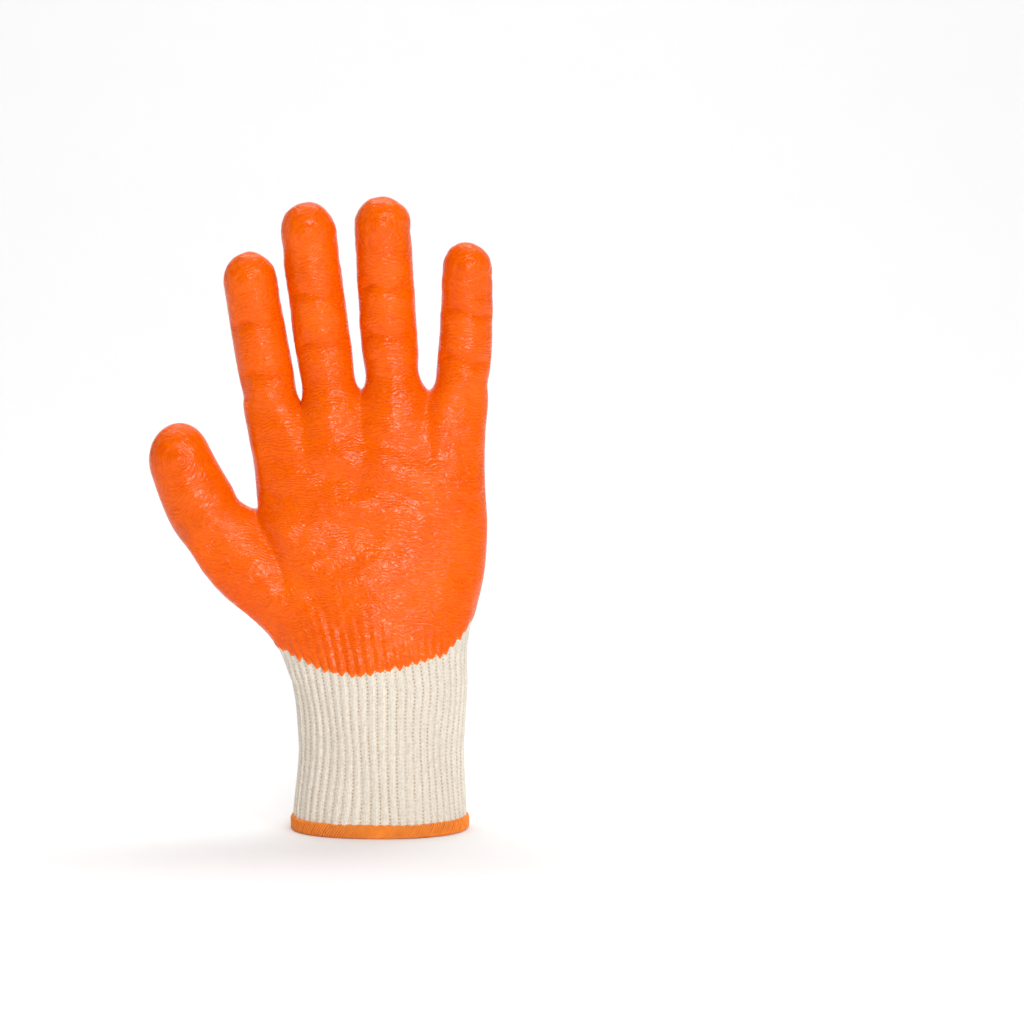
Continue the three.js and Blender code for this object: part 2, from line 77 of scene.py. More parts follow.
# Outline of the hand above the cuff in millimetres: height and x of each border
LEFT_OUTLINE = np.array([
    (56.3, -32.7), (64.3, -36.4), (74.2, -41.5), (82.6, -49.9), (90.2, -59.0), (98.2, -65.9),
    (106.2, -70.8), (118.7, -76.0), (118.8, -46.6), (126.7, -46.3), (134.4, -46.7),
    (142.7, -47.9), (151.8, -49.8), (161.4, -51.7),
])
FORK_LINE = np.array([
    (56.3, -22.2), (65.5, -24.1), (76.1, -27.2), (86.4, -31.1), (96.7, -35.6), (108.1, -40.6),
    (118.7, -46.6), (126.7, -46.3), (134.4, -46.7), (142.7, -47.9), (151.8, -49.8), (161.4, -51.7),
])
RIGHT_OUTLINE = np.array([
    (56.3, 32.7), (62.8, 32.6), (71.9, 33.0), (81.8, 35.0), (91.7, 37.5), (102.4, 39.1),
    (116.9, 39.8), (126.7, 39.2), (135.0, 38.9), (143.2, 38.9), (152.6, 38.9), (163.6, 39.5),
])
HALF_DEPTH = np.array([
    (56.3, 22.5), (64.3, 21.4), (74.2, 19.8), (82.6, 18.0), (92.0, 16.5), (103.0, 15.3),
    (118.0, 14.5), (126.7, 14.2), (142.7, 13.2), (161.4, 11.5),
])
HEEL_SHIFT = np.array([
    (56.3, 0.0), (64.3, -0.8), (74.2, -1.9), (82.6, -3.1), (90.2, -4.2), (98.2, -5.0), (106.2, -5.6),
])
# Lower edge of the coat across the palm: x and height
COAT_EDGE = np.array([
    (-91.0, 100.3), (-47.3, 76.0), (-35.6, 69.4), (-19.6, 62.8), (-7.8, 61.4), (8.6, 64.6),
    (24.2, 68.6), (31.8, 76.1), (37.5, 85.6), (54.6, 104.7),
])
# Border of the coat behind the little finger's side: height and how far in from the outline
SIDE_BAND = np.array([
    (80.0, -1.5), (89.0, 0.0), (95.0, 1.9), (107.0, 3.4), (126.0, 4.2), (138.0, 4.9), (170.0, 4.6),
])
# Soft folds of the palm's coat: both ends, half width and depth, a ridge where the depth is below 0
PALM_FOLDS = (
    ((-42.0, 142.0), (22.0, 124.5), 3.0, 0.9),
    ((-40.0, 134.0), (30.0, 116.0), 4.5, -1.1),
    ((-45.0, 127.0), (16.0, 107.0), 3.0, 0.9),
    ((-27.0, 153.0), (33.0, 140.0), 4.0, 0.5),
    ((-30.0, 147.0), (36.0, 132.0), 4.5, -0.95),
    ((-40.0, 111.0), (-11.0, 72.0), 3.5, 0.9),
    ((-12.0, 108.0), (16.0, 78.0), 14.0, -0.8),
)


def smooth(value: np.ndarray, low: float, high: float) -> np.ndarray:
    """Returns value eased from 0 at low to 1 at high."""
    share = np.clip((value - low) / (high - low), 0, 1)
    return share * share * (3 - 2 * share)


def column(table: np.ndarray, at: np.ndarray) -> np.ndarray:
    """Returns the table's second column read at values of its first."""
    return np.interp(at, table[:, 0], table[:, 1])


@dataclass
class Digit:
    """One finger or the thumb: its line and the bare window that the coat leaves on its back.

    The window's rows are: share of the length, border nearer the thumb, border away from it,
    both as shares of the half width.
    """

    name: str
    root: tuple[float, float, float]
    lean: float
    length: float
    bow: float
    curl: float
    width: float
    depth: float
    taper: float
    boss: float
    creases: tuple[float, ...]
    window: tuple[tuple[float, float, float], ...]

    def local(self, points: np.ndarray) -> dict[str, np.ndarray]:
        """Places points in the digit's own frame.

        Args:
            points: places in millimetres, one row each.

        Returns:
            Share along, offsets across and in depth, and half sizes, by name.
        """
        lean = math.radians(self.lean)
        x = points[:, 0] - self.root[0]
        z = points[:, 2] - self.root[2]
        along = (x * math.sin(lean) + z * math.cos(lean)) / self.length
        across = x * math.cos(lean) - z * math.sin(lean)
        inside = np.clip(np.abs(along), 0, 1)
        across = across - self.bow * self.width * np.sin(np.pi * inside**0.6)
        middle = self.root[1] - self.curl * np.clip(along, 0, 2) ** 2
        size = 1 - (1 - self.taper) * np.clip(along / 0.8, 0, 1)
        return {
            "along": along,
            "across": across,
            "back": points[:, 1] - middle,
            "half": size * self.width / 2,
            "depth": size * self.depth / 2,
        }

    def rounded(self, points: np.ndarray) -> np.ndarray:
        """Rounds the digit in section and at its tip.

        Args:
            points: places in millimetres that belong to this digit.

        Returns:
            The points moved on to the smooth form.
        """
        place = self.local(points)
        start = 1 - 1.1 * place["half"] / self.length
        across, back = place["across"] / place["half"], place["back"] / place["depth"]
        up = np.maximum(0, (place["along"] - start) / (1 - start))
        size = np.maximum(np.sqrt(across**2 + back**2 + up**2), 1e-3)
        weight = smooth(place["along"], 0.16, 0.34)
        pull = (1 / size - 1) * weight
        lean = math.radians(self.lean)
        side = np.array([math.cos(lean), 0, -math.sin(lean)])
        rise = np.array([math.sin(lean), 0, math.cos(lean)])
        moved = points + (pull * place["across"])[:, None] * side
        moved[:, 1] += pull * place["back"]
        lift = pull * up * (1 - start) * self.length
        return moved + lift[:, None] * rise

    def bare(self, points: np.ndarray) -> np.ndarray:
        """Measures from the border of the bare window.

        Args:
            points: places in millimetres that belong to this digit.

        Returns:
            How far each point is outside the window, in millimetres.
        """
        place = self.local(points)
        rows = np.array(self.window)
        near = np.interp(place["along"], rows[:, 0], rows[:, 1])
        far = np.interp(place["along"], rows[:, 0], rows[:, 2])
        share = place["across"] / place["half"]
        return np.maximum(near - share, share - far) * place["half"]


DIGITS = (
    Digit("thumb", (-57.8, -2.5, 113.8), -29.5, 45.4, -0.125, 2.8, 28.4, 23.0, 0.79, 0.74, (),
          ((-0.5, -1.1, 1.5), (-0.3, -0.95, 1.2), (-0.14, -0.82, 0.42), (-0.05, -0.78, 0.18),
           (0.19, -0.68, 0.06), (0.35, -0.58, -0.04), (0.42, -0.46, -0.14), (0.46, -0.3, -0.3), (0.8, 1.0, -1.2))),
    Digit("index", (-40.9, 0.0, 161.5), -9.9, 58.0, -0.04, 6.4, 20.0, 19.6, 0.94, 0.83, (0.22, 0.55),
          ((-0.6, -0.75, 1.4), (-0.3, -0.56, 1.3), (-0.08, -0.5, 1.2), (0.03, -0.44, 0.9), (0.13, -0.44, 0.8),
           (0.24, -0.38, 0.79), (0.35, -0.3, 0.73), (0.45, -0.17, 0.62), (0.51, -0.08, 0.57),
           (0.56, 0.06, 0.47), (0.59, 0.27, 0.27), (0.85, 1.2, -1.0))),
    Digit("middle", (-19.1, 0.0, 164.0), -7.4, 74.0, -0.03, 8.0, 20.4, 20.0, 0.96, 0.85, (0.29, 0.54),
          ((-0.3, -1.5, 1.5), (-0.07, -1.3, 1.3), (0.0, -0.9, 0.95), (0.17, -0.78, 0.97), (0.33, -0.7, 0.93),
           (0.415, -0.64, 0.79), (0.5, -0.57, 0.72), (0.58, -0.48, 0.57), (0.62, -0.37, 0.52),
           (0.66, -0.25, 0.44), (0.704, -0.1, 0.3), (0.72, 0.1, 0.1), (0.9, 1.2, -1.0))),
    Digit("ring", (4.7, 0.0, 166.4), -3.7, 73.4, -0.04, 8.0, 20.4, 20.0, 0.97, 0.86, (0.3, 0.55),
          ((-0.3, -1.5, 1.5), (-0.07, -1.3, 1.3), (0.0, -0.9, 0.93), (0.15, -0.76, 0.95), (0.24, -0.7, 0.9),
           (0.337, -0.6, 0.78), (0.432, -0.48, 0.71), (0.527, -0.34, 0.6), (0.575, -0.2, 0.57),
           (0.622, -0.08, 0.45), (0.66, 0.18, 0.18), (0.9, 1.2, -1.0))),
    Digit("little", (28.3, 0.0, 164.9), 3.9, 57.6, 0.08, 6.4, 20.0, 19.6, 0.87, 0.84, (0.25, 0.56),
          ((-0.5, -1.5, 0.6), (-0.07, -1.3, 0.56), (0.0, -0.9, 0.55), (0.07, -0.8, 0.57), (0.2, -0.62, 0.56),
           (0.325, -0.46, 0.5), (0.452, -0.27, 0.42), (0.52, -0.12, 0.32), (0.575, 0.1, 0.1),
           (0.85, 1.1, -1.1))),
)


def settled(points: np.ndarray) -> np.ndarray:
    """Eases out the wrist's thumb side and leans the fingers a little.

    Args:
        points: places in millimetres.

    Returns:
        The moved points.
    """
    x, _, z = points.T
    side = smooth(-x, 8, 30)
    wrist = -WRIST_EASE * np.exp(-(((z - 57) / 6.0) ** 2))
    foot = -FOOT_EASE * (1 - smooth(z, 4, 30))
    moved = points.copy()
    moved[:, 0] += side * (wrist + foot) + FINGER_LEAN * smooth(z, 140, 175)
    return moved


def folds_at(x: np.ndarray, z: np.ndarray) -> np.ndarray:
    """Works out the palm's folds.

    Args:
        x: offsets across the palm in millimetres.
        z: heights in millimetres.

    Returns:
        The folds' depth at each place, in millimetres.
    """
    depth = np.zeros(len(x))
    for start, end, half, deep in PALM_FOLDS:
        run = np.array(end) - np.array(start)
        share = np.clip(((x - start[0]) * run[0] + (z - start[1]) * run[1]) / (run @ run), 0, 1)
        gap = np.hypot(x - start[0] - share * run[0], z - start[1] - share * run[1])
        fade = np.sin(np.pi * np.clip(share, 0.06, 0.94))
        depth += deep * fade * np.exp(-((gap / half) ** 2))
    return depth


def nearest_digit(points: np.ndarray) -> np.ndarray:
    """Parts the hand among its digits.

    Args:
        points: places in millimetres.

    Returns:
        The index of the digit that each point belongs to or lies below.
    """
    gaps = []
    for k, digit in enumerate(DIGITS):
        place = digit.local(points)
        gap = np.abs(place["across"]) / place["half"]
        if k == 0:
            x, z = points[:, 0], points[:, 2]
            border = np.where(z < FORK_TOP, column(FORK_LINE, z), FORK_TOP_X - FORK_RISE * (z - FORK_TOP))
            gap = np.where((x > border) | (place["along"] > THUMB_REACH), FAR, 0)
        gaps.append(gap)
    return np.argmin(np.array(gaps), axis=0)


@dataclass
class Chart:
    """Wale and course of the knit, and the coat's level, at places on the hand."""

    points: np.ndarray
    section_power: float = 2.35
    side_pull: float = 0.7
    fork_share: float = 0.2345
    serration: float = 0.35
    owner: np.ndarray = field(init=False)

    def __post_init__(self) -> None:
        """Finds the digit that each point belongs to."""
        self.owner = nearest_digit(self.points)

    def depth_from_middle(self) -> np.ndarray:
        """Measures depth from the hand's middle plane.

        Returns:
            Each point's distance behind it, in millimetres.
        """
        x, y, z = self.points.T
        left, fork = column(LEFT_OUTLINE, z), column(FORK_LINE, z)
        share = np.clip((fork - x) / np.maximum(fork - left, 1), 0, 1)
        return y - column(HEEL_SHIFT, z) * share**1.5

    def run_round(self, left: np.ndarray) -> tuple[np.ndarray, np.ndarray, np.ndarray]:
        """Measures round the hand's section, from its middle.

        Args:
            left: the outline on the thumb's side at each point.

        Returns:
            How far round each point lies, and the same for the thumb's fork and for the side.
        """
        x, _, z = self.points.T
        right = column(RIGHT_OUTLINE, z)
        half, middle = (right - left) / 2, (right + left) / 2
        deep = column(HALF_DEPTH, z)
        across = (x - middle) / half
        back = self.depth_from_middle() / deep
        radius = (np.abs(across) ** self.section_power + np.abs(back) ** self.section_power)
        radius = np.maximum(radius ** (1 / self.section_power), 1e-3)
        across, back = across / radius, back / radius
        run = half * across + np.sign(across) * self.side_pull * deep * (1 - np.abs(back))
        edge = half + self.side_pull * deep
        fork = np.maximum(-1, (column(FORK_LINE, z) - middle) / half)
        fork_back = np.maximum(0, 1 - np.abs(fork) ** self.section_power) ** (1 / self.section_power)
        return run, half * fork - self.side_pull * deep * (1 - fork_back), edge

    def palm_wale(self) -> np.ndarray:
        """Counts wales on the palm and heel, round from the thumb's side over the back.

        Returns:
            The wale of each point.
        """
        z = self.points[:, 2]
        left, fork = column(LEFT_OUTLINE, z), column(FORK_LINE, z)
        run, fork_run, edge = self.run_round(left)
        low = self.fork_share * (run + edge) / np.maximum(fork_run + edge, 1e-3)
        thumb = run < fork_run
        run, fork_run, edge = self.run_round(left + (fork - left) * smooth(z, 80, 118.7))
        high = self.fork_share + (1 - self.fork_share) * np.maximum(0, run - fork_run) / (edge - fork_run)
        share = np.clip(np.where(thumb, low, high), 0, 1)
        half_round = WALES / 2
        return np.where(self.depth_from_middle() >= 0, half_round * share, WALES - half_round * share)

    def wale_and_course(self) -> np.ndarray:
        """Charts the whole hand, where each digit has its own wales.

        Returns:
            The wale and the course of each point as two columns.
        """
        z = self.points[:, 2]
        wale, course = self.palm_wale(), z / COURSE
        for k, digit in enumerate(DIGITS):
            mine = self.owner == k
            if not mine.any():
                continue
            place = digit.local(self.points[mine])
            root = np.array([digit.root])
            top = root + np.array([[0, digit.depth / 2, 0]])
            start = Chart(top).palm_wale()[0]
            angle = np.arctan2(place["across"] / place["half"], place["back"] / place["depth"])
            around = start + angle * digit.width / 2 / WALE
            up = (digit.root[2] + place["along"] * digit.length) / COURSE
            if k == 0:
                blend = smooth(place["along"], -0.45, -0.05)
            else:
                blend = smooth(z[mine], 146, 163)
            wale[mine] = wale[mine] * (1 - blend) + around * blend
            course[mine] = course[mine] * (1 - blend) + up * blend
        return np.column_stack([wale, course])

    def coated(self, wale: np.ndarray) -> np.ndarray:
        """Finds the coat that the dip left.

        Args:
            wale: the wale of each point, for the teeth that the ribs and stitches leave.

        Returns:
            How far inside the coat each point is, in millimetres.
        """
        x, _, z = self.points.T
        front = 0.4 - self.depth_from_middle()
        behind = np.full(len(x), -50.0)
        for k, digit in enumerate(DIGITS):
            mine = self.owner == k
            if mine.any():
                behind[mine] = digit.bare(self.points[mine])
        behind -= np.where(self.owner > 0, 10 * (1 - smooth(z, 98, 126)), 50.0 * (z < 96))
        palm_left = column(FORK_LINE, z)
        upper = (z > 122) & (z < 166) & (self.owner > 0)
        behind = np.where(upper, np.maximum(behind, palm_left + 5.2 - x), behind)
        outer = (z < 166) & (self.owner > 0)
        side = x - column(RIGHT_OUTLINE, z) + column(SIDE_BAND, z)
        behind = np.where(outer, np.maximum(behind, side), behind)
        web = np.hypot((x + 51) / 8, (z - 122) / 12)
        behind = np.maximum(behind, (1 - web) * 8)
        behind = behind + self.serration * np.cos(2 * np.pi * wale) * (behind > -5)
        rib = np.floor(wale / WALES_PER_RIB + 0.5)
        size = 0.75 + 0.35 * np.sin(rib * 2.3) + 0.2 * np.sin(rib * 5.1)
        swing = np.cos(2 * np.pi * (wale / WALES_PER_RIB + 0.08 * np.sin(rib * 3.7)))
        tooth = size * (2 * (0.5 + 0.5 * swing) ** 0.7 - 1) + 0.2 * np.cos(2 * np.pi * wale)
        below = z - column(COAT_EDGE, x) + tooth
        return np.minimum(np.maximum(front, behind), below)


@dataclass
class Relief:
    """Ribs, creases, tip bosses and ripples of the hand: depths and widths in millimetres."""

    crease: tuple[float, float] = (0.6, 0.9)
    hollow: tuple[float, float] = (0.75, 3.4)
    lip: tuple[float, float] = (0.2, 1.6)
    boss: tuple[float, float] = (0.5, 2.4)
    groove: tuple[float, float] = (0.2, 0.9)
    groove_reach: float = 4.0
    ripple: float = 0.4
    back_ripple: float = 0.06
    fine: float = 0.2

    @staticmethod
    def mound(size: tuple[float, float], away: np.ndarray) -> np.ndarray:
        """Returns a rounded mound of a height and half width at distances from its middle."""
        return size[0] * np.exp(-((away / size[1]) ** 2))

    def on_digit(self, digit: Digit, points: np.ndarray) -> np.ndarray:
        """Shapes the creases and the tip's boss of one digit.

        Args:
            digit: the finger or thumb.
            points: its places in millimetres.

        Returns:
            How far out each point is moved.
        """
        place = digit.local(points)
        facing = smooth(-place["back"] / place["depth"], 0.15, 0.75)
        out = np.zeros(len(points))
        for crease in digit.creases:
            away = (place["along"] - crease) * digit.length + 0.9 * np.sin(place["across"] * 0.35)
            out += self.mound(self.lip, np.abs(away) - self.hollow[1])
            out -= self.mound(self.crease, away) + self.mound(self.hollow, away)
        reach = np.hypot(place["across"], (place["along"] - digit.boss) * digit.length)
        raised = self.mound(self.boss, reach) - self.mound(self.groove, reach - self.groove_reach)
        return facing * (out + (place["along"] > 0.5) * raised)

    def at(self, points: np.ndarray, chart: Chart, wale: np.ndarray) -> np.ndarray:
        """Works out the whole relief.

        Args:
            points: places in millimetres.
            chart: the chart of the same points.
            wale: their wales.

        Returns:
            How far out each point of the hand is moved along its normal, in millimetres.
        """
        x, _, z = points.T
        deep = chart.depth_from_middle()
        front = smooth(-deep, -1, 5)
        fade = 1 - smooth(z, 60, 84 + 12 * smooth(8 - x, 0, 25))
        out = RIB_DEPTH * np.cos(2 * np.pi * wale / WALES_PER_RIB) * fade
        out -= folds_at(x, z) * smooth(-deep, 4, 10) * (z > 60)
        for k, digit in enumerate(DIGITS):
            mine = chart.owner == k
            out[mine] += self.on_digit(digit, points[mine])
        ripple = np.array([noise.noise(Vector((x * 0.11, y * 0.11, z * 0.16))) for x, y, z in points])
        fine = np.array([noise.noise(Vector((x * 0.28, y * 0.28 + 9, z * 0.5))) for x, y, z in points])
        return out + ripple * (self.back_ripple + self.ripple * front) + fine * self.fine * front


def grain(chart: Chart) -> np.ndarray:
    """Lays out the coat's fine wrinkles, in rows up the palm and rings round each fingertip.

    Args:
        chart: the chart of the hand.

    Returns:
        The wrinkles' phase at each point, in millimetres.
    """
    x, _, z = chart.points.T
    phase = z + 0.18 * x * (1 - smooth(z, 110, 140))
    for k, digit in enumerate(DIGITS):
        mine = chart.owner == k
        place = digit.local(chart.points[mine])
        up = (place["along"] - digit.boss) * digit.length
        ring = np.hypot(place["across"] * (1 - smooth(np.abs(up), 5, 14)), up)
        level = digit.root[2] + digit.boss * digit.length - ring
        own = smooth(place["along"], 0.08, 0.3)
        phase[mine] = phase[mine] * (1 - own) + level * own
    return phase


class Modeller:
    """Small helpers for making meshes."""

    @staticmethod
    def deselect() -> None:
        """Leaves object mode with nothing selected."""
        if bpy.context.object and bpy.context.object.mode != "OBJECT":
            bpy.ops.object.mode_set(mode="OBJECT")
        bpy.ops.object.select_all(action="DESELECT")

    @classmethod
    def choose(cls, piece: bpy.types.Object) -> None:
        """Makes a piece the only selected one.

        Args:
            piece: the piece.
        """
        cls.deselect()
        piece.select_set(True)
        bpy.context.view_layer.objects.active = piece

    @classmethod
    def edit(cls, piece: bpy.types.Object) -> None:
        """Opens a piece in edit mode with all of it selected.

        Args:
            piece: the piece.
        """
        cls.choose(piece)
        bpy.ops.object.mode_set(mode="EDIT")
        bpy.ops.mesh.select_all(action="SELECT")

    @classmethod
    def face_out(cls, piece: bpy.types.Object) -> None:
        """Turns a piece's faces outwards.

        Args:
            piece: the piece.
        """
        cls.edit(piece)
        bpy.ops.mesh.normals_make_consistent(inside=False)
        bpy.ops.object.mode_set(mode="OBJECT")

    @staticmethod
    def places(mesh: bpy.types.Mesh) -> np.ndarray:
        """Reads where the mesh's vertices are.

        Args:
            mesh: the mesh, in metres.

        Returns:
            The vertices in millimetres, one row each.
        """
        flat = np.empty(len(mesh.vertices) * 3)
        mesh.vertices.foreach_get("co", flat)
        return flat.reshape(-1, 3) / MM

    @staticmethod
    def place(mesh: bpy.types.Mesh, points: np.ndarray) -> None:
        """Moves the mesh's vertices to the points, given in millimetres."""
        mesh.vertices.foreach_set("co", (points * MM).ravel())
        mesh.update()

    @staticmethod
    def normals(mesh: bpy.types.Mesh) -> np.ndarray:
        """Reads the mesh's vertex normals.

        Args:
            mesh: the mesh.

        Returns:
            The normals, one row each.
        """
        flat = np.empty(len(mesh.vertices) * 3)
        mesh.vertex_normals.foreach_get("vector", flat)
        return flat.reshape(-1, 3)

    @staticmethod
    def show(name: str, mesh: bpy.types.Mesh) -> bpy.types.Object:
        """Links a mesh into the scene.

        Args:
            name: the new object's name.
            mesh: its mesh.

        Returns:
            The new object.
        """
        piece = bpy.data.objects.new(name, mesh)
        bpy.context.scene.collection.objects.link(piece)
        return piece

    @classmethod
    def new(cls, name: str, points: np.ndarray, faces: list) -> bpy.types.Object:
        """Makes an object of points and faces.

        Args:
            name: its name.
            points: places in millimetres, one row each.
            faces: the vertices of each face.

        Returns:
            The new object.
        """
        mesh = bpy.data.meshes.new(name)
        mesh.from_pydata((points * MM).tolist(), [], faces)
        return cls.show(name, mesh)

    @classmethod
    def loop_of_rings(cls, name: str, rings: list[np.ndarray]) -> bpy.types.Object:
        """Joins each ring to the next and the last to the first.

        Args:
            name: the new object's name.
            rings: equal rings of points in millimetres.

        Returns:
            The closed object.
        """
        count = len(rings[0])
        faces = []
        for k in range(len(rings)):
            near, far = k * count, (k + 1) % len(rings) * count
            for j in range(count):
                ahead = (j + 1) % count
                faces.append((near + j, far + j, far + ahead, near + ahead))
        return cls.new(name, np.vstack(rings), faces)

    @classmethod
    def stitch_chart(cls, piece: bpy.types.Object, chart: np.ndarray) -> None:
        """Writes wale and course to the piece's corners, whole across the seam.

        Args:
            piece: the mesh.
            chart: wale and course of each vertex.
        """
        mesh = piece.data
        corners = np.empty(len(mesh.loops), int)
        mesh.loops.foreach_get("vertex_index", corners)
        values = chart[corners]
        starts = np.empty(len(mesh.polygons), int)
        mesh.polygons.foreach_get("loop_start", starts)
        totals = np.empty(len(mesh.polygons), int)
        mesh.polygons.foreach_get("loop_total", totals)
        high = np.maximum.reduceat(values[:, 0], starts)
        low = np.minimum.reduceat(values[:, 0], starts)
        torn = np.repeat(high - low > WALES / 2, totals)
        values[torn & (values[:, 0] < WALES / 2), 0] += WALES
        layer = mesh.uv_layers.new(name="stitches")
        layer.data.foreach_set("uv", values.ravel())


class Value:
    """A shader socket that takes part in arithmetic."""

    def __init__(self, tree: bpy.types.NodeTree, socket: bpy.types.NodeSocket) -> None:
        """Keeps the tree and the socket."""
        self.tree, self.socket = tree, socket

    def math(self, operation: str, *others: "Value | float") -> "Value":
        """Adds a math node on this value and the others.

        Args:
            operation: what the node does.
            others: its further values.

        Returns:
            The node's result.
        """
        node = self.tree.nodes.new("ShaderNodeMath")
        node.operation = operation
        for plug, value in zip(node.inputs, (self, *others)):
            if isinstance(value, Value):
                self.tree.links.new(value.socket, plug)
            else:
                plug.default_value = value
        return Value(self.tree, node.outputs[0])

    def __add__(self, other: "Value | float") -> "Value":
        """Returns the sum."""
        return self.math("ADD", other)

    def __radd__(self, other: float) -> "Value":
        """Returns the sum."""
        return self.math("ADD", other)

    def __sub__(self, other: "Value | float") -> "Value":
        """Returns the difference."""
        return self.math("SUBTRACT", other)

    def __rsub__(self, other: float) -> "Value":
        """Returns other less this value."""
        return (self * -1) + other

    def __mul__(self, other: "Value | float") -> "Value":
        """Returns the product."""
        return self.math("MULTIPLY", other)

    def __rmul__(self, other: float) -> "Value":
        """Returns the product."""
        return self.math("MULTIPLY", other)

    def __truediv__(self, other: "Value | float") -> "Value":
        """Returns the quotient."""
        return self.math("DIVIDE", other)

    def __abs__(self) -> "Value":
        """Returns the absolute value."""
        return self.math("ABSOLUTE")

    def fract(self) -> "Value":
        """Returns the fractional part."""
        return self.math("FRACT")

    def power(self, exponent: float) -> "Value":
        """Returns this value, not below 0, raised to the exponent."""
        return self.math("MAXIMUM", 0.0).math("POWER", exponent)

    def cosine(self) -> "Value":
        """Returns the cosine of this many whole turns."""
        return (self * math.tau).math("COSINE")

    def ease(self, low: float, high: float) -> "Value":
        """Eases this value from 0 at low to 1 at high.

        Args:
            low: where the ease starts.
            high: where it ends.

        Returns:
            The eased value.
        """
        node = self.tree.nodes.new("ShaderNodeMapRange")
        node.interpolation_type = "SMOOTHSTEP"
        self.tree.links.new(self.socket, node.inputs["Value"])
        node.inputs["From Min"].default_value = low
        node.inputs["From Max"].default_value = high
        return Value(self.tree, node.outputs["Result"])


class Finish:
    """Builds one material from sockets and nodes."""

    def __init__(self, name: str) -> None:
        """Starts an empty material with a surface shader.

        Args:
            name: the material's name.
        """
        self.material = bpy.data.materials.new(name)
        self.material.use_nodes = True
        self.tree = self.material.node_tree
        self.surface = self.tree.nodes["Principled BSDF"]

    def node(self, kind: str, settings: dict | None = None, sockets: dict | None = None) -> bpy.types.Node:
        """Adds a node.

        Args:
            kind: the node's type.
            settings: its properties.
            sockets: values or links for its inputs, by name.

        Returns:
            The new node.
        """
        node = self.tree.nodes.new(kind)
        for name, value in (settings or {}).items():
            setattr(node, name, value)
        for name, value in (sockets or {}).items():
            if isinstance(value, Value):
                self.tree.links.new(value.socket, node.inputs[name])
            elif isinstance(value, bpy.types.NodeSocket):
                self.tree.links.new(value, node.inputs[name])
            else:
                node.inputs[name].default_value = value
        return node

    def place(self, scale: tuple[float, float, float] = (1, 1, 1)) -> bpy.types.NodeSocket:
        """Reads the object coordinates.

        Args:
            scale: how each axis is scaled.

        Returns:
            The scaled coordinates.
        """
        start = self.node("ShaderNodeTexCoord").outputs["Object"]
        scaled = self.node("ShaderNodeVectorMath", {"operation": "MULTIPLY"})
        self.tree.links.new(start, scaled.inputs[0])
        scaled.inputs[1].default_value = scale
        return scaled.outputs[0]

    def noise(self, scale: float, stretch: tuple[float, float, float] = (1, 1, 1), **more: float) -> Value:
        """Adds noise on object coordinates.

        Args:
            scale: features per metre.
            stretch: how each axis is scaled first.
            more: other sockets of the noise, by name.

        Returns:
            The noise, 0 to 1.
        """
        sockets = {"Vector": self.place(stretch), "Scale": scale}
        sockets |= {name.title(): value for name, value in more.items()}
        node = self.node("ShaderNodeTexNoise", {}, sockets)
        return Value(self.tree, node.outputs[0])

    def stitches(self) -> tuple[Value, Value]:
        """Reads the piece's stitch chart.

        Returns:
            The wale and the course.
        """
        split = self.node("ShaderNodeSeparateXYZ")
        chart = self.node("ShaderNodeUVMap", {"uv_map": "stitches"})
        self.tree.links.new(chart.outputs[0], split.inputs[0])
        return Value(self.tree, split.outputs[0]), Value(self.tree, split.outputs[1])

    def height(self) -> Value:
        """Reads the height above the cuff's foot.

        Returns:
            The height in metres.
        """
        split = self.node("ShaderNodeSeparateXYZ")
        self.tree.links.new(self.place(), split.inputs[0])
        return Value(self.tree, split.outputs[2])

    def attribute(self, name: str) -> Value:
        """Returns a value stored on the piece's vertices."""
        node = self.node("ShaderNodeAttribute", {"attribute_name": name})
        return Value(self.tree, node.outputs["Fac"])

    def mix(
        self, factor: Value, low: tuple | bpy.types.NodeSocket, high: tuple | bpy.types.NodeSocket
    ) -> bpy.types.NodeSocket:
        """Mixes two colours.

        Args:
            factor: 0 for low to 1 for high.
            low: a colour or its socket.
            high: a colour or its socket.

        Returns:
            The mixed colour.
        """
        node = self.node("ShaderNodeMix", {"data_type": "RGBA"})
        self.tree.links.new(factor.socket, node.inputs[0])
        for plug, value in ((node.inputs[6], low), (node.inputs[7], high)):
            if isinstance(value, bpy.types.NodeSocket):
                self.tree.links.new(value, plug)
            else:
                plug.default_value = (*value, 1)
        return node.outputs[2]

    def finish(
        self,
        color: bpy.types.NodeSocket,
        roughness: Value,
        height: Value,
        depth: float,
        constants: dict[str, float],
    ) -> bpy.types.Material:
        """Joins colour, roughness and relief to the surface.

        Args:
            color: the base colour.
            roughness: the roughness.
            height: relief, 0 to 1.
            depth: the relief's depth in metres.
            constants: values of the surface's other sockets.

        Returns:
            The material.
        """
        bump = self.node("ShaderNodeBump", {}, {"Height": height, "Distance": depth})
        links = self.tree.links
        links.new(color, self.surface.inputs["Base Color"])
        links.new(roughness.socket, self.surface.inputs["Roughness"])
        links.new(bump.outputs[0], self.surface.inputs["Normal"])
        for name, value in constants.items():
            self.surface.inputs[name].default_value = value
        return self.material


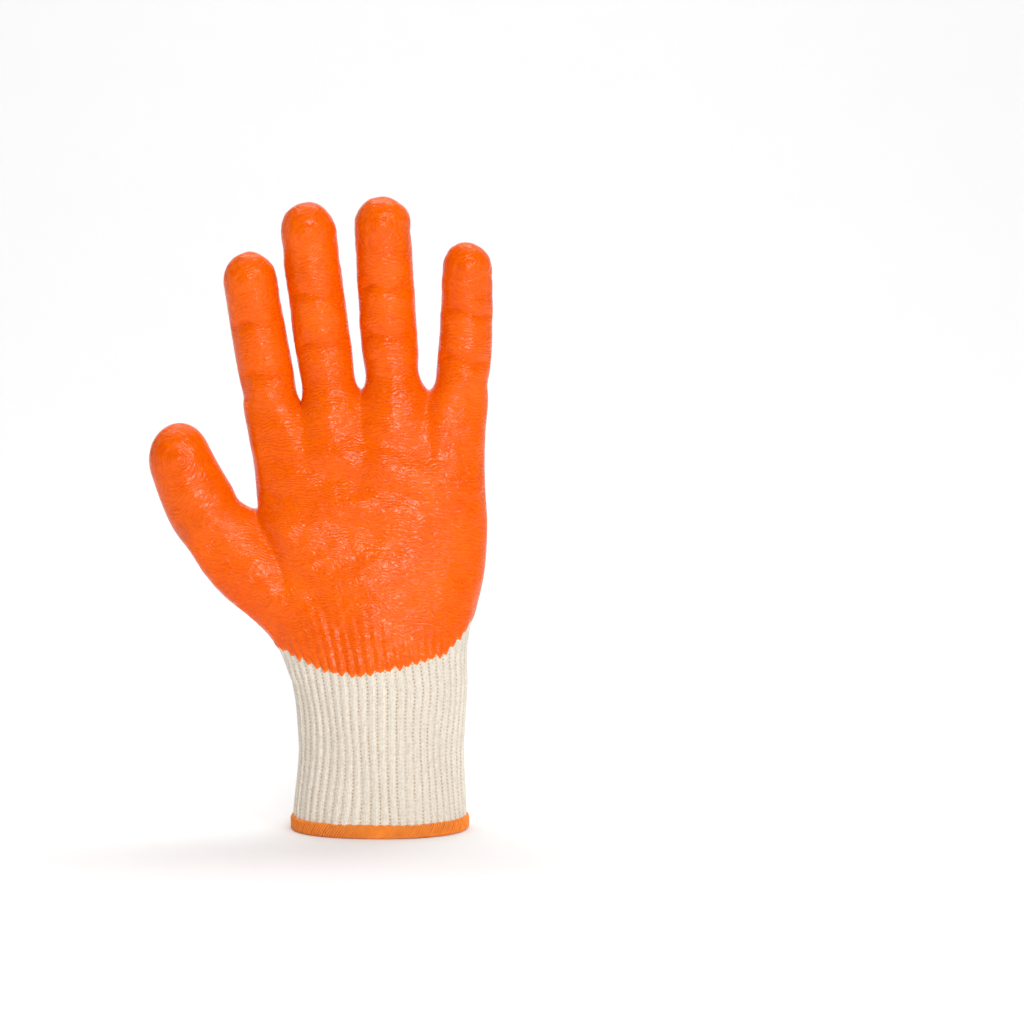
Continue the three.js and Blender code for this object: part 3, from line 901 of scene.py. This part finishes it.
@dataclass(frozen=True)
class KnitFinish:
    """Cream yarn knitted plain on the hand and in ribs round the wrist, where the two fade together."""

    name: str
    light: tuple[float, float, float] = (0.98, 0.91, 0.79)
    dark: tuple[float, float, float] = (0.76, 0.66, 0.53)
    # hole_shade: painted shade seen in the holes between stitches
    hole_shade: tuple[float, float, float] = (0.56, 0.33, 0.15)
    rib_foot: float = 0.062
    rib_top: float = 0.082
    bump: float = 0.00045

    def build(self) -> bpy.types.Material:
        """Builds the finish.

        Returns:
            The material.
        """
        shader = Finish(self.name)
        wale, course = shader.stitches()
        wale = wale + (shader.noise(230, detail=2.0) - 0.5) * 0.5
        course = course + (shader.noise(330, detail=2.0) - 0.5) * 0.7
        fuzz = shader.noise(2300, detail=3.0)
        grit = shader.noise(950, detail=2.0)
        patch = shader.noise(130, detail=3.0)
        plain = shader.height().ease(self.rib_foot, self.rib_top)
        side = abs(wale.fract() - 0.5)
        row = (course + side * 1.15).fract()
        leg = 1 - (abs(side - 0.25) * 4).power(2)
        loop = 1 - (abs(row - 0.5) * 2).power(3)
        stitch = leg * (loop * 0.6 + 0.4)
        # gap and dots mark the holes between stitches and in the ribs' furrows, painted with hole_shade as shade
        between = abs((course + 0.5).fract() - 0.5)
        gap = side.ease(0.34, 0.5) * (0.5 - between).ease(0.15, 0.45) * (plain * 0.6 + 0.25)
        furrow = (wale / WALES_PER_RIB).cosine() * -1
        dots = furrow.ease(0.72, 0.98) * between.ease(0.16, 0.42) * patch.ease(0.25, 0.6)
        gap = (gap + dots * (1 - plain)).math("MINIMUM", 1.0)
        # groove: painted shade darkening the furrows between the ribs
        groove = furrow.ease(0.1, 1.0) * (1 - plain)
        # The tone is lighter on the stitches' raised legs, a painted light, besides the yarn's random fuzz, grit
        # and patches.
        tone = (stitch * 0.45 + fuzz * 0.5 + grit * 1.3 + patch * 0.3 - groove * 0.2).ease(0.7, 1.6)
        color = shader.mix(tone, self.dark, self.light)
        # The holes between stitches are painted in shade.
        color = shader.mix(gap * 0.9, color, self.hole_shade)
        height = stitch * 0.5 + fuzz * 0.3 + grit * 0.5 - gap * 0.35 - groove * 0.1
        rough = fuzz * 0.1 + 0.88
        sheen = {"Sheen Weight": 0.2, "Sheen Roughness": 0.6, "Specular IOR Level": 0.15}
        return shader.finish(color, rough, height, self.bump, sheen)


@dataclass(frozen=True)
class LatexFinish:
    """Crinkled latex with a satin shine, paler where it thins out at its edge, with a painted highlight on the
    crinkles' ridges.
    """

    name: str
    light: tuple[float, float, float] = (0.94, 0.137, 0.0)
    dark: tuple[float, float, float] = (0.79, 0.079, 0.0)
    edge: tuple[float, float, float] = (0.98, 0.19, 0.012)
    bump: float = 0.00012
    gloss: float = 0.19

    def build(self) -> bpy.types.Material:
        """Builds the finish.

        Returns:
            The material.
        """
        shader = Finish(self.name)
        warp = shader.noise(150, detail=2.0)
        lines = (shader.attribute("grain") * 0.75 + warp * 5.5).cosine() * 0.5 + 0.5
        worm = shader.noise(520, (0.8, 0.8, 1.0), detail=1.0, distortion=0.7)
        ridge = 1 - (abs(worm - 0.5) * 6).math("MINIMUM", 1.0)
        small = shader.noise(1100, (0.8, 0.8, 1.0), detail=2.0)
        broken = shader.noise(200, detail=2.0).ease(0.35, 0.65)
        broad = shader.noise(60, detail=2.0)
        calm = shader.attribute("inside").ease(0.0, 1.5)
        height = (lines * (broken * 0.6 + 0.3) + ridge * 0.45 + small * 0.2) * (calm * 0.7 + 0.3)
        # tone: random broad variation, with the crinkles' ridges and lines painted lighter as a painted highlight
        # on the wrinkles
        tone = shader.mix((ridge * 0.2 + lines * 0.2 + broad * 0.7).ease(0.1, 0.95), self.dark, self.light)
        color = shader.mix(calm, self.edge, tone)
        rough = broad * 0.1 + 0.15
        return shader.finish(color, rough, height, self.bump, {"Specular IOR Level": self.gloss})


@dataclass(frozen=True)
class ThreadFinish:
    """Orange spun thread, speckled where the cream yarn shows through, lighter on each wrap's outer side and
    darker on its inner side and on the band beneath: painted light and shade between the wraps.
    """

    name: str
    light: tuple[float, float, float] = (1.0, 0.31, 0.035)
    dark: tuple[float, float, float] = (0.6, 0.09, 0.004)
    bump: float = 0.0002

    def build(self) -> bpy.types.Material:
        """Builds the finish.

        Returns:
            The material.
        """
        shader = Finish(self.name)
        fuzz = shader.noise(2400, detail=3.0)
        patch = shader.noise(420, detail=2.0)
        # crown_light: painted light on each wrap's outer side, painted shade on its inner side and on the band
        # beneath
        crown_light = shader.attribute("crown_light")
        tone = shader.mix((fuzz * 0.5 + patch * 0.5 + crown_light * 0.7).ease(0.55, 1.3), self.dark, self.light)
        rough = fuzz * 0.1 + 0.72
        return shader.finish(tone, rough, fuzz, self.bump, {"Sheen Weight": 0.15, "Specular IOR Level": 0.2})


@dataclass
class Hand:
    """The knitted hand: a fine skin over the CAD shell, joined to the shell's own inner wall."""

    levels: int = 3
    fit_rounds: int = 2
    fit_share: float = 0.9
    merge: float = 1e-5
    skin: bpy.types.Object = field(init=False)
    lining: bpy.types.Object = field(init=False)
    chart: np.ndarray = field(init=False)
    level: np.ndarray = field(init=False)
    grain: np.ndarray = field(init=False)

    def split(self) -> None:
        """Copies the shell, opens its foot and parts its outer wall from its inner one."""
        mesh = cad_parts["knit_shell"].data.copy()
        Modeller.edit(Modeller.show("knit_hand", mesh))
        bpy.ops.mesh.remove_doubles(threshold=self.merge)
        bpy.ops.mesh.customdata_custom_splitnormals_clear()
        bpy.ops.mesh.select_all(action="DESELECT")
        bpy.ops.object.mode_set(mode="OBJECT")
        foot = CUFF_TOP * MM + self.merge
        for face in mesh.polygons:
            face.select = all(mesh.vertices[v].co.z < foot for v in face.vertices)
        bpy.ops.object.mode_set(mode="EDIT")
        bpy.ops.mesh.select_mode(type="FACE")
        bpy.ops.mesh.delete(type="FACE")
        bpy.ops.mesh.separate(type="LOOSE")
        bpy.ops.object.mode_set(mode="OBJECT")
        parts = sorted(bpy.context.selected_objects, key=lambda part: part.dimensions.x)
        self.lining, self.skin = parts[0], parts[-1]
        log.info("shell parted into %d walls", len(parts))

    def refine(self) -> None:
        """Rounds the skin so that it still passes through the CAD shell's corners."""
        Modeller.edit(self.skin)
        bpy.ops.mesh.tris_convert_to_quads(face_threshold=math.pi, shape_threshold=math.pi)
        bpy.ops.object.mode_set(mode="OBJECT")
        mesh = self.skin.data
        wanted = Modeller.places(mesh)
        modifier = self.skin.modifiers.new("round", "SUBSURF")
        modifier.levels = modifier.render_levels = 1
        for _ in range(self.fit_rounds):
            shown = self.skin.evaluated_get(bpy.context.evaluated_depsgraph_get()).to_mesh()
            reached = Modeller.places(shown)[: len(wanted)]
            Modeller.place(mesh, Modeller.places(mesh) + self.fit_share * (wanted - reached))
            self.skin.evaluated_get(bpy.context.evaluated_depsgraph_get()).to_mesh_clear()
        modifier.levels = modifier.render_levels = self.levels
        bpy.ops.object.modifier_apply(modifier=modifier.name)

    def carve(self) -> None:
        """Adds ribs, creases and ripples, and charts the stitches."""
        mesh = self.skin.data
        points = Modeller.places(mesh)
        owner = nearest_digit(points)
        for k, digit in enumerate(DIGITS):
            mine = owner == k
            points[mine] = digit.rounded(points[mine])
        Modeller.place(mesh, points)
        chart = Chart(points)
        self.grain = grain(chart)
        self.chart = chart.wale_and_course()
        self.level = chart.coated(self.chart[:, 0])
        out = Relief().at(points, chart, self.chart[:, 0])
        Modeller.place(mesh, settled(points + Modeller.normals(mesh) * out[:, None]))
        Modeller.stitch_chart(self.skin, self.chart)

    def foot(self) -> np.ndarray:
        """Follows the skin's open border at the foot.

        Returns:
            The indices of its vertices, in order round it.
        """
        work = bmesh.new()
        work.from_mesh(self.skin.data)
        edges = [edge for edge in work.edges if edge.is_boundary]
        following: dict[int, list[int]] = {}
        for edge in edges:
            a, b = (v.index for v in edge.verts)
            following.setdefault(a, []).append(b)
            following.setdefault(b, []).append(a)
        first = min(following, key=lambda k: self.skin.data.vertices[k].co.x)
        loop, before = [first], None
        while True:
            ahead = [k for k in following[loop[-1]] if k != before]
            before = loop[-1]
            if ahead[0] == first and len(loop) > 2:
                break
            loop.append(ahead[0])
        work.free()
        return np.array(loop)

    def close(self) -> bpy.types.Object:
        """Joins the inner wall to the skin round the foot.

        Returns:
            The hand as one closed piece.
        """
        skin, lining = self.skin, self.lining
        Modeller.choose(skin)
        lining.select_set(True)
        lining.data.uv_layers.new(name="stitches")
        bpy.ops.object.join()
        bpy.ops.object.mode_set(mode="EDIT")
        bpy.ops.mesh.select_mode(type="EDGE")
        bpy.ops.mesh.select_all(action="DESELECT")
        bpy.ops.mesh.select_non_manifold(
            use_wire=False, use_multi_face=False, use_non_contiguous=False, use_verts=False
        )
        bpy.ops.mesh.bridge_edge_loops()
        bpy.ops.object.mode_set(mode="OBJECT")
        skin.name = "knit_hand"
        return skin

    def build(self) -> None:
        """Makes the skin ready for the coat and the cuff."""
        self.split()
        self.refine()
        self.carve()


@dataclass
class Coat:
    """The latex skin, cut from the hand's by the level that the dip reached."""

    hand: Hand
    thin: float = 0.12
    thick: float = 0.6
    grow: float = 1.6
    tuck: float = 0.5
    charted: float = 6.0
    edge_share: float = 0.03

    def build(self) -> bpy.types.Object:
        """Cuts the coat's border between vertices and lifts the coat off the knit.

        Returns:
            The coat.
        """
        work = bmesh.new()
        work.from_mesh(self.hand.skin.data)
        level = work.verts.layers.float.new("inside")
        grain_of = work.verts.layers.float.new("grain")
        for vert, value, phase in zip(work.verts, self.hand.level, self.hand.grain):
            vert[level], vert[grain_of] = value, phase
        crossing = [e for e in work.edges if (e.verts[0][level] > 0) != (e.verts[1][level] > 0)]
        cut = []
        for edge in crossing:
            a, b = edge.verts
            share = min(1 - self.edge_share, max(self.edge_share, a[level] / (a[level] - b[level])))
            phase = a[grain_of] + share * (b[grain_of] - a[grain_of])
            _, middle = bmesh.utils.edge_split(edge, a, share)
            middle[level], middle[grain_of] = 0, phase
            cut.append(middle)
        bmesh.ops.connect_verts(work, verts=cut)
        bare = [v for v in work.verts if v[level] < -1e-6]
        bmesh.ops.delete(work, geom=bare, context="VERTS")
        mesh = bpy.data.meshes.new("latex_coat_skin")
        work.to_mesh(mesh)
        work.free()
        piece = Modeller.show("latex_skin", mesh)
        inside = np.empty(len(mesh.vertices))
        mesh.attributes["inside"].data.foreach_get("value", inside)
        inside = np.clip(inside, 0, self.charted)
        mesh.attributes["inside"].data.foreach_set("value", inside)
        out = self.thin + (self.thick - self.thin) * smooth(inside, 0, self.grow)
        Modeller.place(mesh, Modeller.places(mesh) + Modeller.normals(mesh) * out[:, None])
        self.tuck_edge(piece)
        return piece

    def tuck_edge(self, piece: bpy.types.Object) -> None:
        """Turns the coat's border in, under the knit's surface.

        Args:
            piece: the coat.
        """
        Modeller.choose(piece)
        bpy.ops.object.mode_set(mode="EDIT")
        work = bmesh.from_edit_mesh(piece.data)
        border = [edge for edge in work.edges if edge.is_boundary]
        steps = [(edge.link_loops[0].vert, edge.link_loops[0].link_loop_next.vert) for edge in border]
        tucked: dict[bmesh.types.BMVert, bmesh.types.BMVert] = {}
        for vert in (vert for step in steps for vert in step):
            if vert not in tucked:
                tucked[vert] = work.verts.new(vert.co - vert.normal * self.tuck * MM, vert)
        for start, end in steps:
            work.faces.new((end, start, tucked[start], tucked[end]))
        bmesh.update_edit_mesh(piece.data)
        Modeller.face_out(piece)


@dataclass
class Cuff:
    """The ribbed wrist, hung from the hand's foot loop."""

    hand: Hand
    rows: int = 64
    foot: float = 4.6
    wall: float = 2.0
    sway: float = 0.8
    widths: tuple[tuple[float, float, float], ...] = (
        (4.6, 32.2, 24.5), (18.0, 31.6, 24.0), (31.0, 31.2, 23.5), (44.0, 31.9, 23.0), (56.3, 32.7, 22.5),
    )

    @staticmethod
    def eased(ring: np.ndarray, top: np.ndarray) -> np.ndarray:
        """Eases a ring's thumb side as the hand's is.

        Args:
            ring: the ring's points.
            top: the foot loop that it was made from, which is eased already.

        Returns:
            The eased ring.
        """
        moved = ring.copy()
        moved[:, 0] += (settled(ring) - ring)[:, 0] - (settled(top) - top)[:, 0]
        return moved

    def spread(self, height: float) -> tuple[float, float]:
        """Returns the cuff's width and depth at a height, as shares of its top's."""
        high, wide, deep = np.array(self.widths).T
        return np.interp(height, high, wide) / wide[-1], np.interp(height, high, deep) / deep[-1]

    def outer_rings(self, points: np.ndarray, heights: np.ndarray) -> list[np.ndarray]:
        """Lets the foot loop down ring by ring, with ribs that sway a little.

        Args:
            points: the hand's foot loop.
            heights: the rings' heights.

        Returns:
            The rings, from the top.
        """
        along = np.roll(points, -4, axis=0) - np.roll(points, 4, axis=0)
        along /= np.linalg.norm(along, axis=1)[:, None]
        turn = np.arctan2(points[:, 1], points[:, 0])
        rings = []
        for height in heights:
            wide, deep = self.spread(height)
            drop = self.sway * smooth(np.array(CUFF_TOP - height), 0, 20)
            lean = np.sin(2 * turn + 0.7 + height / 16) + 0.45 * np.sin(5 * turn + height / 9)
            ring = points + along * (drop * lean)[:, None]
            ring[:, 0] *= wide
            ring[:, 1] *= deep
            ring[:, 2] = points[:, 2] + (height - CUFF_TOP)
            rings.append(self.eased(ring, points))
        return rings

    def inner_rings(self, points: np.ndarray, heights: np.ndarray) -> list[np.ndarray]:
        """Lines the cuff a wall's thickness further in.

        Args:
            points: the hand's foot loop.
            heights: the outer rings' heights.

        Returns:
            The rings at the foot, halfway and at the top.
        """
        shrink = 1 - self.wall / np.hypot(points[:, 0], points[:, 1])
        rings = []
        for height in (heights[-1], (heights[0] + heights[-1]) / 2, heights[0]):
            wide, deep = self.spread(height)
            ring = points * np.array([wide, deep, 1])
            ring *= np.column_stack([shrink, shrink, np.ones(len(points))])
            ring[:, 2] = height
            rings.append(self.eased(ring, points))
        return rings

    def build(self) -> bpy.types.Object:
        """Joins the outer rings to the inner ones and charts the stitches.

        Returns:
            The cuff, closed over its inner wall.
        """
        loop = self.hand.foot()
        points = Modeller.places(self.hand.skin.data)[loop]
        heights = CUFF_TOP - (CUFF_TOP - self.foot) * np.linspace(0, 1, self.rows)
        rings = self.outer_rings(points, heights) + self.inner_rings(points, heights)
        piece = Modeller.loop_of_rings("cuff", rings)
        Modeller.face_out(piece)
        wale = self.hand.chart[loop, 0]
        stitches = [np.column_stack([wale, ring[:, 2] / COURSE]) for ring in rings]
        Modeller.stitch_chart(piece, np.vstack(stitches))
        log.info("cuff has %d columns", len(loop))
        return piece


@dataclass
class Hem:
    """The overlocked edge: slanted wraps of thread over a band."""

    wraps: int = 190
    height: float = 5.4
    proud: float = 1.2
    inset: float = 2.4
    thread: float = 0.38
    slant: float = 0.016
    half_width: float = 32.2
    half_depth: float = 24.5
    power: float = 2.2
    girth: float = 175.0
    wrap_segments: tuple[int, int] = (18, 6)
    form_radius: float = 0.2
    band_segments: int = 180
    band_section: tuple[tuple[float, float], ...] = ((0.55, 0.5), (-1.9, 0.5), (-1.9, 4.7), (0.55, 4.7))

    def ring_at(self, turn: np.ndarray, out: np.ndarray) -> np.ndarray:
        """Follows the outline of the cuff's foot.

        Args:
            turn: shares of a whole turn.
            out: how far out of the outline, in millimetres.

        Returns:
            x and y at each share, one row each.
        """
        angle = math.tau * turn
        power = 2 / self.power
        cos, sin = np.cos(angle), np.sin(angle)
        x = (self.half_width + out) * np.sign(cos) * np.abs(cos) ** power
        y = (self.half_depth + out) * np.sign(sin) * np.abs(sin) ** power
        return np.column_stack([x, y])

    def even_turns(self, count: int) -> np.ndarray:
        """Spaces places evenly round the ring.

        Args:
            count: how many there are.

        Returns:
            Their shares of a whole turn.
        """
        fine = np.linspace(0, 1, 2001)
        ring = self.ring_at(fine, np.zeros_like(fine))
        run = np.concatenate([[0], np.cumsum(np.linalg.norm(np.diff(ring, axis=0), axis=1))])
        return np.interp(np.linspace(0, run[-1], count, endpoint=False), run, fine)

    def wrap_form(self) -> tuple[np.ndarray, np.ndarray, list[tuple[int, ...]]]:
        """Takes the form of one wrap from a torus.

        Returns:
            The angle round the wrap and the offsets across the thread of each vertex, and the faces.
        """
        major, minor = self.wrap_segments
        bpy.ops.mesh.primitive_torus_add(
            major_segments=major, minor_segments=minor, major_radius=1, minor_radius=self.form_radius
        )
        torus = bpy.context.object
        x, y, z = (Modeller.places(torus.data) * MM).T
        faces = [tuple(face.vertices) for face in torus.data.polygons]
        bpy.data.objects.remove(torus)
        across = np.column_stack([np.hypot(x, y) - 1, z]) / self.form_radius
        return np.arctan2(y, x), across, faces

    def build(self) -> bpy.types.Object:
        """Lays the wraps side by side round the band.

        Returns:
            The hem.
        """
        angle, across, faces = self.wrap_form()
        up = np.sign(np.sin(angle)) * np.abs(np.sin(angle)) ** 0.5
        out = np.sign(np.cos(angle)) * np.abs(np.cos(angle)) ** 0.5
        middle = (self.proud - self.inset) / 2
        reach_out = (self.proud + self.inset) / 2 - self.thread
        reach_up = self.height / 2 - self.thread
        lift = self.height / 2 + up * reach_up + np.sin(angle) * across[:, 0] * self.thread
        slant = self.slant * 0.5 * np.clip(up, -1, 1) * np.sign(out + 1e-6)
        side = across[:, 1] * self.thread / self.girth
        points, polygons = [], []
        for k, start in enumerate(self.even_turns(self.wraps)):
            wave = 0.06 * math.sin(2.4 * k) + 0.05 * math.sin(5.1 * k)
            radial = middle + out * reach_out + np.cos(angle) * across[:, 0] * self.thread + wave
            ring = self.ring_at(start + slant + side, radial)
            points.append(settled(np.column_stack([ring, lift])))
            polygons += [tuple(v + k * len(angle) for v in face) for face in faces]
        piece = Modeller.new("hem", np.vstack(points), polygons)
        # crown_light marks each wrap's outer side for painted light and its inner side for painted shade; the
        # band, left at 0, is painted in shade.
        crown_light = piece.data.attributes.new("crown_light", "FLOAT", "POINT")
        crown_light.data.foreach_set("value", np.tile(0.5 + 0.5 * across[:, 0], self.wraps))
        band = self.band()
        Modeller.choose(piece)
        band.select_set(True)
        bpy.ops.object.join()
        Modeller.face_out(piece)
        return piece

    def band(self) -> bpy.types.Object:
        """Builds the plain band under the wraps.

        Returns:
            The band.
        """
        count = self.band_segments
        turns = self.even_turns(count)
        return Modeller.loop_of_rings("hem_band", [
            settled(np.column_stack([self.ring_at(turns, np.full(count, out)), np.full(count, up)]))
            for out, up in self.band_section
        ])


def face_to(piece: bpy.types.Object, place: tuple, aim: tuple) -> None:
    """Stands the camera or a lamp at a place, facing a point."""
    piece.location = place
    piece.rotation_euler = (Vector(aim) - Vector(place)).to_track_quat("-Z", "Y").to_euler()


@dataclass(frozen=True)
class Lamp:
    """A soft rectangular lamp: its place, the point it faces, its size in metres and power in watts."""

    name: str
    place: tuple[float, float, float]
    aim: tuple[float, float, float]
    size: tuple[float, float]
    power: float

    def build(self) -> None:
        """Adds the lamp."""
        data = bpy.data.lights.new(self.name, "AREA")
        data.shape = "RECTANGLE"
        data.size, data.size_y = self.size
        data.energy = self.power
        lamp = bpy.data.objects.new(self.name, data)
        bpy.context.scene.collection.objects.link(lamp)
        face_to(lamp, self.place, self.aim)


MIDDLE = (0.0, 0.0, 0.12)
LAMPS = (
    Lamp("key", (0.16, -1.1, 0.32), MIDDLE, (0.26, 0.26), 5.2),
    Lamp("side_box", (0.62, -0.95, 0.5), MIDDLE, (0.3, 0.3), 3.2),
    Lamp("left_strip", (-0.9, 0.15, 0.3), MIDDLE, (0.2, 0.9), 0.9),
    Lamp("right_strip", (0.95, 0.15, 0.3), MIDDLE, (0.2, 0.9), 0.4),
    Lamp("overhead", (0.05, 0.1, 1.8), (0.05, 0.1, 0.0), (2.2, 2.0), 22),
    Lamp("backdrop", (0.0, 0.9, 2.3), (0.0, 1.8, 0.4), (2.5, 0.8), 27),
)


@dataclass
class Studio:
    """White floor and backdrop, soft lights and the camera, in metres."""

    aim: tuple[float, float, float] = (0.0497, 0.0, 0.1209)
    eye: tuple[float, float, float] = (0.0497, -1.5, 0.281)
    lens: float = 140.2
    front: float = -3.0
    sweep_start: float = 1.2
    sweep_radius: float = 0.8
    half_width: float = 4.0
    top: float = 4.0
    paper: float = 0.93
    sky: float = 0.12

    def floor(self) -> bpy.types.Object:
        """Lays the floor, which sweeps up into the backdrop.

        Returns:
            The floor.
        """
        start, radius = self.sweep_start, self.sweep_radius
        profile = [(self.front, 0.0), (start, 0.0)]
        for degrees in range(10, 91, 10):
            angle = math.radians(degrees)
            profile.append((start + radius * math.sin(angle), radius - radius * math.cos(angle)))
        profile.append((start + radius, self.top))
        points = np.array([(x, y, z) for y, z in profile for x in (-self.half_width, self.half_width)]) / MM
        faces = [(2 * k, 2 * k + 1, 2 * k + 3, 2 * k + 2) for k in range(len(profile) - 1)]
        sweep = Modeller.new("floor", points, faces)
        Modeller.choose(sweep)
        bpy.ops.object.shade_smooth()
        material = bpy.data.materials.new("paper")
        material.use_nodes = True
        surface = material.node_tree.nodes["Principled BSDF"]
        surface.inputs["Base Color"].default_value = (self.paper, self.paper, self.paper, 1)
        surface.inputs["Roughness"].default_value = 0.9
        sweep.data.materials.append(material)
        return sweep

    def build(self) -> None:
        """Sets floor, lamps, world and camera."""
        self.floor()
        for lamp in LAMPS:
            lamp.build()
        world = bpy.data.worlds.new("studio")
        world.use_nodes = True
        world.node_tree.nodes["Background"].inputs[0].default_value = (1, 1, 1, 1)
        world.node_tree.nodes["Background"].inputs[1].default_value = self.sky
        scene = bpy.context.scene
        scene.world = world
        scene.view_settings.view_transform = "Standard"
        data = bpy.data.cameras.new("camera")
        data.lens, data.sensor_width = self.lens, 36
        data.clip_start, data.clip_end = 0.05, 20
        camera = bpy.data.objects.new("camera", data)
        scene.collection.objects.link(camera)
        face_to(camera, self.eye, self.aim)
        scene.camera = camera


def dress(piece: bpy.types.Object, name: str, material: bpy.types.Material, slot: Slot, *nodes: str) -> None:
    """Names the piece, gives it its finish, shades it smooth by angle and hangs it from the root body.

    Args:
        piece: the mesh.
        name: its name.
        material: its finish.
        slot: the record's slot; not used.
        nodes: the CAD nodes that it stands for.
    """
    piece.name = piece.data.name = name
    piece.data.materials.clear()
    piece.data.materials.append(material)
    Modeller.choose(piece)
    bpy.ops.object.shade_smooth_by_angle(angle=math.radians(SMOOTH_DEGREES))
    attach(piece, "root")
    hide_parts(*nodes)
    piece.data.calc_loop_triangles()
    log.info("%s: %d triangles", name, len(piece.data.loop_triangles))


def main() -> None:
    """Builds every piece and the studio."""
    logging.basicConfig(level=logging.INFO)
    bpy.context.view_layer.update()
    hand = Hand()
    hand.build()
    coat = Coat(hand).build()
    cuff = Cuff(hand).build()
    shell = hand.close()
    hem = Hem().build()
    dress(shell, "knit_hand", KnitFinish("cream_knit").build(), Slot.KNIT, "knit_shell")
    dress(cuff, "ribbed_wrist", KnitFinish("rib_knit").build(), Slot.RIB, "rib_cuff")
    dress(coat, "latex_skin", LatexFinish("orange_latex").build(), Slot.LATEX, "latex_coat")
    dress(hem, "overlock", ThreadFinish("orange_thread").build(), Slot.THREAD, "overlock_hem")
    Studio().build()


if __name__ == "__main__":
    main()
